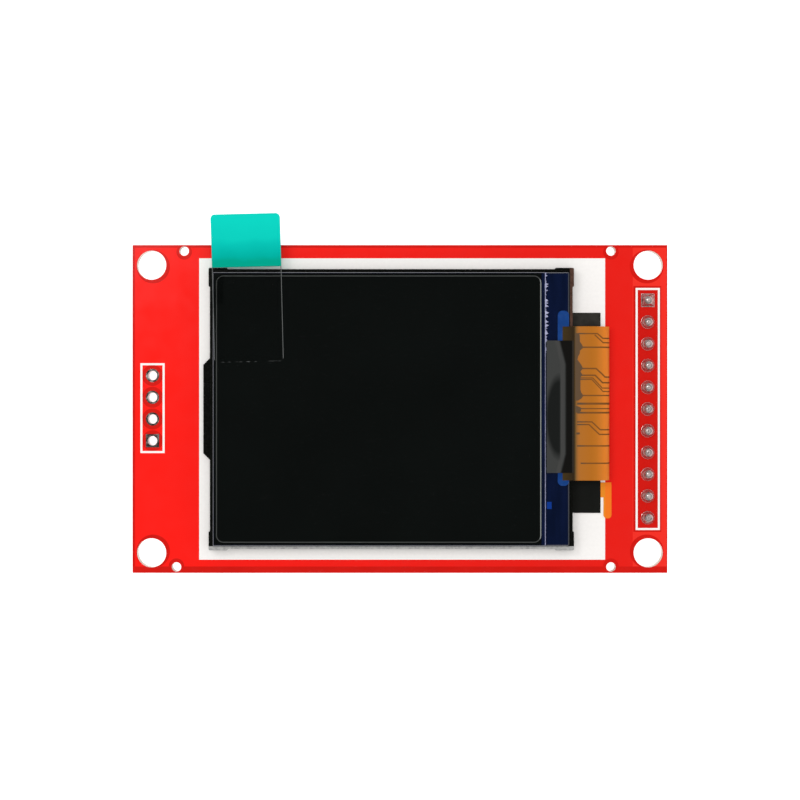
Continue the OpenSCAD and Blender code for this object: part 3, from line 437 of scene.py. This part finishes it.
# A small blue square on the ledge lines the cell up with the chip when it is bonded.
mark = add(tree, "VectorMath", {0: place, 1: (17.28 * MM, -11.15 * MM, 0)},
           operation="SUBTRACT").outputs[0]
mark = add(tree, "VectorMath", {0: mark}, operation="ABSOLUTE").outputs[0]
mark = add(tree, "SeparateXYZ", {0: mark}).outputs
mark_x = add(tree, "Math", {0: mark["X"], 1: 0.27 * MM}, operation="LESS_THAN").outputs[0]
mark_y = add(tree, "Math", {0: mark["Y"], 1: 0.41 * MM}, operation="LESS_THAN").outputs[0]
square = add(tree, "Math", {0: mark_x, 1: mark_y}, operation="MULTIPLY").outputs[0]
edge = add(tree, "Mix", {0: square, 6: edge, 7: linear("#103380")}, data_type="RGBA").outputs[2]
tree.links.new(edge, shader.inputs["Base Color"])
dress(glass, "lower_glass", "upper_glass")

# The scribed edge of the upper plate, with chips broken out of the upper third. Its lavender to
# near white colour is a painted highlight.
def sheet_from(name, columns, rows, shape, thickness):
    # A grid whose points are moved to where shape(u, v) says, given its thickness
    bpy.ops.object.select_all(action="DESELECT")
    bpy.ops.mesh.primitive_grid_add(x_subdivisions=columns, y_subdivisions=rows, size=1)
    made = last()
    made.name = name
    for vertex in made.data.vertices:
        vertex.co = shape(vertex.co.x + 0.5, vertex.co.y + 0.5)
    wall = made.modifiers.new("wall", "SOLIDIFY")
    wall.thickness = thickness
    wall.offset = 1
    bpy.ops.object.modifier_apply(modifier=wall.name)
    bpy.ops.object.shade_smooth_by_angle(angle=math.radians(40))
    return made


upper_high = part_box("upper_glass")[1]
chips = random.Random(7)
edge_rows = 260
edge_drop = 0.34 * MM
widths = []
for i in range(edge_rows + 1):
    y = (2 * i / edge_rows - 1) * upper_high[1] / MM
    rough = min(1, max(0, (y - 6.0) / 3)) if y > 0 else 0.08
    burst = chips.random() ** 3
    widths.append((0.10 + rough * burst * 0.42) * MM)


def edge_shape(u, v):
    i = round(v * edge_rows)
    y = (2 * v - 1) * (upper_high[1] - 0.02 * MM)
    fall = u * edge_drop * (0.6 + 0.4 * widths[i] / (0.3 * MM))
    return Vector((upper_high[0] + 0.002 * MM + u * widths[i], y, upper_high[2] - 0.02 * MM - fall))


snapped = sheet_from("snapped_edge", 2, edge_rows, edge_shape, 0.006 * MM)
edge_glass, tree, shader, place = finish("snapped_glass", {"IOR": 1.52})
# Painted highlight: the edge is painted lavender to near white.
wear(tree, shader, place, ("#7f83ad", "#d8d9f2"), 0.25 * MM, (0.1, 0.3))
fix(snapped, edge_glass)

# ---- Polarizers ----
# Stretched film glued on both sides of the cell, nearly black from in front with the display off.
polarizer, tree, shader, place = finish("polarizing_film", {"IOR": 1.5})
wear(tree, shader, place, ("#060807", "#0a0d0c"), 9 * MM, (0.05, 0.09))
dress(polarizer, "front_polarizer", "rear_polarizer")

# ---- Protective film ----
# Clear film that is peeled off before use. Only its cut edge shows, as a thin grey line painted on
# as a highlight, brightest on the side of the flex.
film_low, film_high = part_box("protective_film")
film_r = 0.85 * MM
film_middle = [(a + b) / 2 for a, b in zip(film_low, film_high)]
film_half = [(b - a) / 2 for a, b in zip(film_low, film_high)]
clear_film, tree, shader, place = finish("peelable_film", {"IOR": 1.5, "Roughness": 0.06})
offset = add(tree, "VectorMath", {0: place, 1: (film_middle[0], film_middle[1], film_low[2])},
             operation="SUBTRACT").outputs[0]
folded = add(tree, "VectorMath", {0: offset}, operation="ABSOLUTE").outputs[0]
past = add(tree, "VectorMath", {0: folded, 1: (film_half[0] - film_r, film_half[1] - film_r, 1)},
           operation="SUBTRACT").outputs[0]
corner = add(tree, "VectorMath", {0: past, 1: (0, 0, 0)}, operation="MAXIMUM").outputs[0]
reach = add(tree, "VectorMath", {0: corner}, operation="LENGTH").outputs["Value"]
# Painted highlight: a thin grey line along the cut edge, brightest on the side of the flex.
near_edge = add(tree, "MapRange", {"Value": reach, "From Min": film_r - 0.14 * MM,
                                   "From Max": film_r - 0.04 * MM}).outputs["Result"]
axes = add(tree, "SeparateXYZ", {0: offset}).outputs
side_light = add(tree, "MapRange", {"Value": axes["X"], "From Min": film_half[0] - 0.2 * MM,
                                    "From Max": film_half[0] - 0.1 * MM,
                                    "To Min": 0.2}).outputs["Result"]
glow = add(tree, "Math", {0: near_edge, 1: side_light}, operation="MULTIPLY").outputs[0]
black_below = add(tree, "TexNoise", {"Vector": place, "Scale": 1 / (9 * MM)}).outputs["Fac"]
dark = add(tree, "Mix", {0: black_below, 6: linear("#070908"), 7: linear("#0b0e0d")},
           data_type="RGBA").outputs[2]
lined = add(tree, "Mix", {0: glow, 6: dark, 7: linear("#8d918e")}, data_type="RGBA").outputs[2]
tree.links.new(lined, shader.inputs["Base Color"])
dress(clear_film, "protective_film")

# ---- Pull tab ----
# A strip of translucent teal polyester that curls up at its free end, painted darker towards the
# display as painted shade. Where it is stuck to the dark display it lets the black through, so
# only its cut edge shows there, as a painted highlight.
tab_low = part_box("pull_tab")[0]
tab_w, tab_stuck, tab_free = 8.0 * MM, 10.95 * MM, 6.15 * MM
tab_curl, tab_corner, tab_ripple = 32 * MM, 0.5 * MM, 0.02 * MM
tab_middle = (-17.68 * MM, 16.385 * MM)
tab_slant = math.radians(1.4)


def tab_shape(u, v):
    along = (1 - math.cos(math.pi * v)) / 2 * (tab_stuck + tab_free) - tab_stuck
    from_end = min(along + tab_stuck, tab_free - along)
    half = tab_w / 2
    if from_end < tab_corner:
        short = tab_corner - from_end
        half -= tab_corner - math.sqrt(max(0.0, tab_corner ** 2 - short ** 2))
    side = (2 * u - 1) * half
    x, y, z = side, along, tab_low[2]
    if along > 0:
        y = tab_curl * math.sin(along / tab_curl)
        z += tab_curl * (1 - math.cos(along / tab_curl))
        z += tab_ripple * math.sin(side / MM * 1.1 + 1) * min(1, along / (2 * MM))
    c, s = math.cos(tab_slant), math.sin(tab_slant)
    return Vector((tab_middle[0] + c * x - s * y, tab_middle[1] + s * x + c * y, z))


def shade(ramp, stops):
    # Puts the stops, each a place from 0 to 1 and a colour, on a colour ramp
    elements = ramp.color_ramp.elements
    while len(elements) < len(stops):
        elements.new(1.0)
    for element, (position, colour) in zip(elements, stops):
        element.position = position
        element.color = linear(colour)


tab = sheet_from("teal_tab", 24, 90, tab_shape, 0.06 * MM)
teal, tree, shader, place = finish("teal_polyester", {"IOR": 1.4, "Roughness": 0.5,
                                                      "Specular IOR Level": 0.02})
turned = add(tree, "VectorMath", {0: place, 1: (tab_middle[0], tab_middle[1], 0)},
             operation="SUBTRACT").outputs[0]
turned = add(tree, "Mapping", {"Vector": turned, "Rotation": (0, 0, -tab_slant)}).outputs[0]
axes = add(tree, "SeparateXYZ", {0: turned}).outputs
free = add(tree, "MapRange", {"Value": axes["Y"], "From Min": -0.02 * MM,
                              "From Max": 0.06 * MM}).outputs["Result"]
# Painted shade: the free part is painted dark teal at the edge of the display and lighter towards
# its tip, broken up by a mottle.
mottle = add(tree, "TexNoise", {"Vector": place, "Scale": 1 / (2.2 * MM)}).outputs["Fac"]
height = add(tree, "Math", {0: mottle, 1: 0.9 * MM, 2: axes["Y"]},
             operation="MULTIPLY_ADD").outputs[0]
height = add(tree, "MapRange", {"Value": height, "From Max": 6 * MM}).outputs["Result"]
ramp = add(tree, "ValToRGB", {0: height})
shade(ramp, [(0.0, "#00927b"), (0.2, "#00957f"), (0.28, "#00a092"), (0.5, "#04b0a3"),
             (0.62, "#08bcac"), (1.0, "#0ac3b2")])
# Painted highlight: a grey line along the cut edge where the tab is stuck down.
side = add(tree, "Math", {0: axes["X"]}, operation="ABSOLUTE").outputs[0]
line = add(tree, "MapRange", {"Value": side, "From Min": tab_w / 2 - 0.12 * MM,
                              "From Max": tab_w / 2 - 0.04 * MM}).outputs["Result"]
foot = add(tree, "MapRange", {"Value": axes["Y"], "From Min": -tab_stuck + 0.13 * MM,
                              "From Max": -tab_stuck + 0.05 * MM}).outputs["Result"]
flecks = add(tree, "TexNoise", {"Vector": place, "Scale": 1 / (0.5 * MM)}).outputs["Fac"]
flecks = add(tree, "MapRange", {"Value": flecks, "From Min": 0.45,
                                "From Max": 0.7}).outputs["Result"]
foot = add(tree, "Math", {0: foot, 1: flecks}, operation="MULTIPLY").outputs[0]
tab_edge_highlight = add(tree, "Math", {0: line, 1: foot}, operation="MAXIMUM").outputs[0]
stuck_tone = add(tree, "Mix", {0: tab_edge_highlight, 6: linear("#0c100f"), 7: linear("#6d706f")},
                 data_type="RGBA").outputs[2]
tone = add(tree, "Mix", {0: free, 6: stuck_tone, 7: ramp.outputs["Color"]},
           data_type="RGBA").outputs[2]
tree.links.new(tone, shader.inputs["Base Color"])
clear = add(tree, "Math", {0: tab_edge_highlight, 1: 0.7}, operation="MULTIPLY").outputs[0]
clear = add(tree, "Math", {0: clear, 1: 0.03}, operation="MAXIMUM").outputs[0]
solid = add(tree, "Math", {0: free, 1: clear}, operation="MAXIMUM").outputs[0]
tree.links.new(solid, shader.inputs["Alpha"])
fix(tab, teal)
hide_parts("pull_tab")

# ---- Driver chip ----
# A sliver of bare silicon bonded face down on the glass, polished on its back.
silicon, tree, shader, place = finish("polished_silicon", {"Metallic": 0.5})
wear(tree, shader, place, ("#2e3034", "#4a4d52"), 0.8 * MM, (0.1, 0.2))
dress(silicon, "driver_chip")

# ---- Flex ----
# Amber polyimide film over copper, soft and glossy. It looks olive where it lies on the dark
# glass, with a band of painted shadow along the edge of the tape, ochre on the tape and bright
# orange by the fold, painted light that comes through the fold.
flex_film, tree, shader, place = finish("amber_polyimide", {"IOR": 1.5, "Roughness": 0.4,
                                                        "Specular IOR Level": 0.1})
axes = add(tree, "SeparateXYZ", {0: place}).outputs
outwards = add(tree, "MapRange", {"Value": axes["X"], "From Min": 18.8 * MM,
                                  "From Max": 24.4 * MM}).outputs["Result"]
# Painted shadow in a dark band past the tape's edge, and painted light towards the fold.
ramp = add(tree, "ValToRGB", {0: outwards})
shade(ramp, [(0.0, "#392b10"), (0.225, "#291d0d"), (0.246, "#33250f"), (0.268, "#5b4626"),
             (0.289, "#7e5325"), (0.33, "#99602a"), (0.37, "#a16222"), (0.6, "#a46118"),
             (0.7, "#ab651b"), (0.8, "#bb6c22"), (0.88, "#d07626"), (1.0, "#dd7c2c")])
lowered = add(tree, "Math", {0: axes["Z"], 1: 0.16 * MM}, operation="LESS_THAN").outputs[0]
over_red = add(tree, "Math", {0: axes["X"], 1: 23.97 * MM},
               operation="GREATER_THAN").outputs[0]
tail_tone = add(tree, "Mix", {0: over_red, 6: linear("#d9801f"), 7: linear("#e2701a")},
                data_type="RGBA").outputs[2]
film_tone = add(tree, "Mix", {0: lowered, 6: ramp.outputs["Color"], 7: tail_tone},
                data_type="RGBA").outputs[2]
tree.links.new(film_tone, shader.inputs["Base Color"])
dress(flex_film, "display_flex", "lamp_flex")

# Etched copper tracks run across the flex and round its fold, dark brown under the amber film,
# from a wide strip of copper beside the tape.
fold_x, fold_z, fold_r = 23.085 * MM, 1.275 * MM, 1.245 * MM
flex_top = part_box("display_flex")[1][2]


def round_fold(x, y, lift):
    # A point on the flex; past the start of the fold, x goes on along its curved surface
    if x <= fold_x:
        return Vector((x, y, flex_top + lift))
    angle = (x - fold_x) / fold_r
    return Vector((fold_x + (fold_r + lift) * math.sin(angle), y,
                   fold_z + (fold_r + lift) * math.cos(angle)))


def on_surface(x):
    # Turns a place seen from the front into a length along the flex
    return x if x <= fold_x else fold_x + fold_r * math.asin(min(1, (x - fold_x) / fold_r))


def ribbon(stations, width, lay, thickness):
    # A strip along the stations, mitred at its bends, laid on a surface by lay(x, y)
    ways = [(b - a).normalized() for a, b in zip(stations, stations[1:])]

    def shape(u, v):
        i = round(u * (len(stations) - 1))
        before, after = ways[max(0, i - 1)], ways[min(i, len(ways) - 1)]
        across = Vector((-before.y - after.y, before.x + after.x)).normalized()
        across /= max(0.5, across.dot(Vector((-after.y, after.x))))
        spot = stations[i] + across * (v - 0.5) * width
        return lay(spot.x, spot.y)

    return sheet_from("track", len(stations) - 1, 1, shape, thickness)


def track(points, width):
    path = [Vector((on_surface(x * MM), y * MM)) for x, y in points]
    stations = []
    for start, end in zip(path, path[1:]):
        steps = max(1, math.ceil((end - start).length / (0.2 * MM))) if end.x > fold_x else 1
        stations += [start.lerp(end, k / steps) for k in range(steps)]
    stations.append(path[-1])
    return ribbon(stations, width * MM, lambda x, y: round_fold(x, y, 0.001 * MM), 0.006 * MM)


pour_start = 20.28


def pour(coast):
    # A flat area of copper between the tape and a coast given as places across and along
    def shape(u, v):
        y = coast[0][0] + v * (coast[-1][0] - coast[0][0])
        for (y0, x0), (y1, x1) in zip(coast, coast[1:]):
            if y0 <= y <= y1 + 1e-6:
                x = x0 + (x1 - x0) * (y - y0) / (y1 - y0)
        return round_fold((pour_start + u * (x - pour_start)) * MM, y * MM, 0.004 * MM)

    return sheet_from("pour", 1, 120, shape, 0.006 * MM)


far = 24.33
tracks = [
    track([(20.6, 8.73), (22.85, 8.73), (23.45, 8.19), (far, 8.19)], 0.15),
    track([(22.52, 8.6), (23.5, 7.68), (far, 7.68)], 0.14),
    track([(20.4, 7.15), (far, 7.15)], 0.17),
    track([(20.4, 4.69), (22.68, 4.69), (23.74, 3.70), (far, 3.70)], 0.17),
    track([(20.4, 3.91), (22.58, 3.91), (23.44, 3.05), (far, 3.05)], 0.17),
    track([(20.4, 3.60), (22.3, 3.60), (23.4, 2.43), (far, 2.43)], 0.12),
    track([(20.4, 3.42), (22.2, 3.42), (23.5, 2.03), (far, 2.03)], 0.12),
    track([(20.4, 1.57), (far, 1.57)], 0.15),
    track([(20.5, 0.63), (far, 0.63)], 0.24),
    track([(20.5, 0.05), (far, 0.05)], 0.13),
    track([(20.5, -0.42), (far, -0.42)], 0.2),
    track([(20.48, -1.48), (22.21, -1.48), (23.17, -2.39), (far, -2.39)], 0.15),
    track([(20.48, -1.79), (21.87, -1.79), (23.07, -2.93), (far, -2.93)], 0.15),
    track([(20.4, -2.82), (20.8, -2.82)], 0.24),
    track([(20.48, -4.26), (far, -4.26)], 0.16),
    track([(20.9, -6.27), (far, -6.27)], 0.16),
    pour([(0.98, 20.6), (1.22, 21.0), (1.57, 21.23), (1.91, 20.97), (2.26, 20.88), (3.65, 20.88),
          (3.99, 21.11), (4.34, 20.88), (4.69, 21.17), (5.03, 21.03), (5.38, 20.8), (5.73, 20.52),
          (6.07, 20.6), (6.42, 20.8), (6.77, 20.82), (7.11, 21.23), (7.46, 21.05), (7.81, 20.82),
          (8.5, 20.8), (8.78, 20.7)]),
    pour([(-0.42, 20.7), (-0.2, 20.95), (0.2, 20.92), (0.36, 20.45)]),
]
copper, tree, shader, place = finish("copper_under_amber", {"IOR": 1.5, "Roughness": 0.5,
                                                            "Specular IOR Level": 0.1})
axes = add(tree, "SeparateXYZ", {0: place}).outputs
inner = add(tree, "MapRange", {"Value": axes["X"], "From Min": 20.9 * MM,
                               "From Max": 21.7 * MM}).outputs["Result"]
tone = add(tree, "Mix", {0: inner, 6: linear("#564330"), 7: linear("#70451c")},
           data_type="RGBA").outputs[2]
tree.links.new(tone, shader.inputs["Base Color"])
fix(join("flex_tracks", tracks), copper)

# ---- Tracks on the back ----
# Copper tracks under the mask of the board's back join the socket, the small parts and the
# header, with tented vias where they change sides. They show as raised lines of brighter red.
def back_track(points, width=0.3):
    stations = [Vector((x * MM, y * MM)) for x, y in points]
    return ribbon(stations, width * MM,
                  lambda x, y: Vector((x, y, -board_t - copper_t - 0.001 * MM)), copper_t)


def jogged(x0, y0, x1, y1, bend_x):
    # Straight out, over at 45 degrees and straight on
    return [(x0, y0), (bend_x, y0), (bend_x + abs(y1 - y0), y1), (x1, y1)]


rows = [-5.72, -1.9, 1.9, 5.72]
back_tracks = [back_track(jogged(3.2, y0, 5.4, y1, 3.5), 0.25)
               for y0, y1 in ((-5, rows[0]), (-2.5, rows[1]), (2.5, rows[2]), (5, rows[3]))]
back_tracks += [back_track(jogged(7.5, y, 28.2, lane, bend), 0.25)
                for y, lane, bend in ((rows[0], -5.08, 20.2), (rows[1], -2.54, 20.8),
                                      (rows[2], 2.54, 20.8), (rows[3], 5.08, 20.2))]
back_tracks += [
    back_track([(3.2, -10), (4.2, -10), (6.2, -12), (26.2, -12), (26.9, -12.7), (28.2, -12.7)]),
    back_track([(13.5, -10.16), (17.5, -10.16)], 0.4),
    back_track([(19.6, -10.16), (23.3, -10.16)], 0.4),
    back_track([(25.8, -9.2), (27.0, -8.0), (28.2, -7.62)], 0.4),
    back_track([(3.2, 10), (4.2, 10), (6.2, 12), (26.2, 12), (26.9, 12.7), (28.2, 12.7)], 0.5),
    back_track([(13.6, 10.16), (17.4, 10.16)], 0.8),
    back_track([(19.7, 10.16), (23.3, 10.16)], 0.8),
    back_track([(13.6, 6.9), (17.4, 6.9)], 0.5),
    back_track([(25.8, 9.2), (27.0, 8.0), (28.2, 7.62)], 0.6),
    back_track([(3.2, 0), (14.4, 0)], 0.25),
    back_track([(16.7, 0), (28.2, 0)], 0.25),
    back_track([(11.4, 6.35), (9.6, 6.35), (8.4, 7.5), (8.4, 10.9)]),
    back_track([(8.4, 13.4), (8.4, 15.2), (-21, 15.2), (-27.2, 9), (-27.2, 4.4)]),
    back_track([(11.4, -10.16), (9.2, -10.16), (8.4, -10.9)]),
    back_track([(8.4, -13.4), (8.4, -15.2), (-21, -15.2), (-27.2, -9), (-27.2, -4.2)]),
]
vias = [(9.9, -1.9), (9.9, 1.9), (22.6, 0), (11.0, 0), (8.4, 13.4), (8.4, -13.4), (8.4, 10.9),
        (8.4, -10.9), (15.5, -12), (15.5, 12), (-24.1, 12.1), (-24.1, -12.1), (21.8, -10.16),
        (21.6, 10.16)]
via_r, via_h = 0.42 * MM, copper_t + 0.004 * MM
back_tracks += [cylinder_at("via", x * MM, y * MM, -board_t - via_h, via_r, via_h, 20)
                for x, y in vias]
fix(join("back_copper_relief", back_tracks), copper_red)

# ---- Tape over the driver chip ----
# A strip of matt black tape pressed over the chip and down on the flex. It falls away in a crease
# towards the flex. A lighter band before the crease is a painted highlight, an oval near the chip
# and the slope past the crease are painted shade, and a thin strip at its cut end is a painted
# highlight.
tape_low, tape_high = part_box("ledge_tape")
tape_t = 0.06 * MM
crease_x, crease_bow, crease_w = 18.2 * MM, 0.35 * MM, 0.75 * MM


def tape_shape(u, v):
    x = tape_low[0] + u * (tape_high[0] - tape_low[0])
    y = tape_low[1] + v * (tape_high[1] - tape_low[1])
    crease = crease_x + crease_bow * (1 - (2 * v - 1) ** 2)
    fall = min(1, max(0, (x - crease) / crease_w))
    fall = fall * fall * (3 - 2 * fall)
    top = tape_high[2] - tape_t
    low = flex_top + 0.004 * MM
    return Vector((x, y, top + (low - top) * fall))


tape = sheet_from("chip_tape", 32, 60, tape_shape, tape_t)
chip_tape, tree, shader, place = finish("pressed_black_tape", {"IOR": 1.5, "Roughness": 0.4,
                                                               "Specular IOR Level": 0.06})
axes = add(tree, "SeparateXYZ", {0: place}).outputs
off_middle = add(tree, "Math", {0: axes["Y"]}, operation="ABSOLUTE").outputs[0]
ends = add(tree, "Math", {0: off_middle, 1: 5.2 * MM}, operation="SUBTRACT").outputs[0]
ends = add(tree, "Math", {0: ends, 1: 0.0}, operation="MAXIMUM").outputs[0]
past = add(tree, "Math", {0: axes["X"], 1: 19.17 * MM}, operation="SUBTRACT").outputs[0]
past = add(tree, "Math", {0: ends, 1: 0.25, 2: past}, operation="MULTIPLY_ADD").outputs[0]
# Painted shade on the slope past the crease.
slope_shade = add(tree, "MapRange", {"Value": past, "From Min": -0.14 * MM,
                                "From Max": 0.1 * MM}).outputs["Result"]
# Painted highlight in a band before the crease.
ridge_highlight = add(tree, "Math", {0: past, 1: 0.36 * MM}, operation="ADD").outputs[0]
ridge_highlight = add(tree, "Math", {0: ridge_highlight}, operation="ABSOLUTE").outputs[0]
ridge_highlight = add(tree, "MapRange", {"Value": ridge_highlight, "From Min": 0.12 * MM, "From Max": 0.34 * MM,
                               "To Min": 1.0, "To Max": 0.0}).outputs["Result"]
# Painted shade in an oval near the chip.
sunk = add(tree, "VectorMath", {0: place, 1: (18.38 * MM, -0.9 * MM, 2.7 * MM)},
           operation="SUBTRACT").outputs[0]
sunk = add(tree, "VectorMath", {0: sunk, 1: (1 / (1.5 * MM), 1 / (4.7 * MM), 0)},
           operation="MULTIPLY").outputs[0]
sunk = add(tree, "VectorMath", {0: sunk}, operation="LENGTH").outputs["Value"]
hollow_shade = add(tree, "MapRange", {"Value": sunk, "From Min": 0.85, "From Max": 1.1,
                                "To Min": 1.0, "To Max": 0.0}).outputs["Result"]
before = add(tree, "MapRange", {"Value": axes["X"], "From Min": 18.44 * MM,
                                "From Max": 18.62 * MM, "To Min": 1.0,
                                "To Max": 0.0}).outputs["Result"]
hollow_shade = add(tree, "Math", {0: hollow_shade, 1: before}, operation="MULTIPLY").outputs[0]
tone = add(tree, "Mix", {0: ridge_highlight, 6: linear("#363736"), 7: linear("#3c3c3b")},
           data_type="RGBA").outputs[2]
tone = add(tree, "Mix", {0: hollow_shade, 6: tone, 7: linear("#131514")}, data_type="RGBA").outputs[2]
tone = add(tree, "Mix", {0: slope_shade, 6: tone, 7: linear("#0b0a08")}, data_type="RGBA").outputs[2]
# Painted highlight along the cut end of the tape.
cut_end_highlight = add(tree, "Math", {0: axes["X"], 1: 19.93 * MM},
               operation="GREATER_THAN").outputs[0]
tone = add(tree, "Mix", {0: cut_end_highlight, 6: tone, 7: linear("#2b2621")},
           data_type="RGBA").outputs[2]
tree.links.new(tone, shader.inputs["Base Color"])
fix(tape, chip_tape)
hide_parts("ledge_tape")

# ---- Sealant ----
# Blue ultraviolet-cured resin, run in a bead along the bonded end of the flex; wet and glossy.
resin, tree, shader, place = finish("cured_blue_resin", {"IOR": 1.5})
wear(tree, shader, place, ("#0c2a60", "#1b4484"), 0.8 * MM, (0.06, 0.16), 0.03 * MM)
dress(resin, "bond_sealant")

# ---- Card socket shell ----
# Stainless strip, blanked, pierced and folded; satin, with the fine lines of the rolling mill.
steel, tree, shader, place = finish("rolled_stainless", {"Metallic": 1.0})
lines = add(tree, "Mapping", {"Vector": place, "Scale": (0.05, 1, 1)}).outputs[0]
wear(tree, shader, lines, ("#a9abac", "#cfd1d2"), 0.2 * MM, (0.24, 0.38), 0.003 * MM)
dress(steel, "socket_shell")

# ---- Small parts ----
# Chips with moulded epoxy bodies, resistors with a glazed top and tan ceramic capacitors.
epoxy, tree, shader, place = finish("moulded_epoxy", {"IOR": 1.55})
wear(tree, shader, place, ("#181819", "#262627"), 0.1 * MM, (0.5, 0.7), 0.01 * MM)
dress(epoxy, "regulator_body", "transistor_body")
glaze, tree, shader, place = finish("glazed_alumina", {"IOR": 1.6})
wear(tree, shader, place, ("#121214", "#232326"), 0.3 * MM, (0.15, 0.3))
dress(glaze, "resistor_bodies")
titanate, tree, shader, place = finish("fired_titanate", {"IOR": 1.6})
wear(tree, shader, place, ("#8f6f4a", "#b08d62"), 0.2 * MM, (0.35, 0.5))
dress(titanate, "capacitor_bodies")

# ---- Floor and light ----
# A white sheet on a light table, which keeps the shadows pale. Bright walls of cloth stand all
# round, the ceiling over the camera is dark, and soft lamps hang at the left and overhead.
floor_z = cad_box[0][2]
bpy.ops.object.select_all(action="DESELECT")
bpy.ops.mesh.primitive_plane_add(size=3, location=(0, 0, floor_z - 0.02 * MM))
floor = last()
floor.name = "floor"
white_sheet, tree, shader, place = finish("white_paper", {"Roughness": 0.9,
                                                          "Emission Strength": 0.55})
wear(tree, shader, place, ("#f4f4f4", "#fafafa"), 30 * MM)
shader.inputs["Emission Color"].default_value = (1, 1, 1, 1)
floor.data.materials.append(white_sheet)

world = bpy.data.worlds.new("cloth_walls")
bpy.context.scene.world = world
world.use_nodes = True
tree = world.node_tree
sky = add(tree, "SeparateXYZ", {0: add(tree, "TexCoord", {}).outputs["Generated"]}).outputs["Z"]
ring = add(tree, "ValToRGB", {0: sky})
steps = [(0.0, 0.5), (0.77, 0.5), (0.87, 1.3), (0.966, 1.3), (0.978, 0.02), (1.0, 0.02)]
while len(ring.color_ramp.elements) < len(steps):
    ring.color_ramp.elements.new(1.0)
for element, (position, strength) in zip(ring.color_ramp.elements, steps):
    element.position = position
    element.color = (strength, strength, strength, 1)
tree.links.new(ring.outputs["Color"], tree.nodes["Background"].inputs["Color"])
tree.nodes["Background"].inputs["Strength"].default_value = 1.0


def soft_lamp(name, place, size, power):
    data = bpy.data.lights.new(name, "AREA")
    data.shape = "DISK"
    data.size = size
    data.energy = power
    lamp = bpy.data.objects.new(name, data)
    lamp.location = place
    lamp.rotation_euler = (-Vector(place)).to_track_quat("-Z", "Y").to_euler()
    bpy.context.scene.collection.objects.link(lamp)
    return lamp


soft_lamp("left_lamp", (-0.1, 0.08, 0.3), 0.09, 0.15)
soft_lamp("overhead_lamp", (0, 0.002, 0.32), 0.09, 0.45).visible_glossy = False
bpy.context.scene.view_settings.view_transform = "Standard"
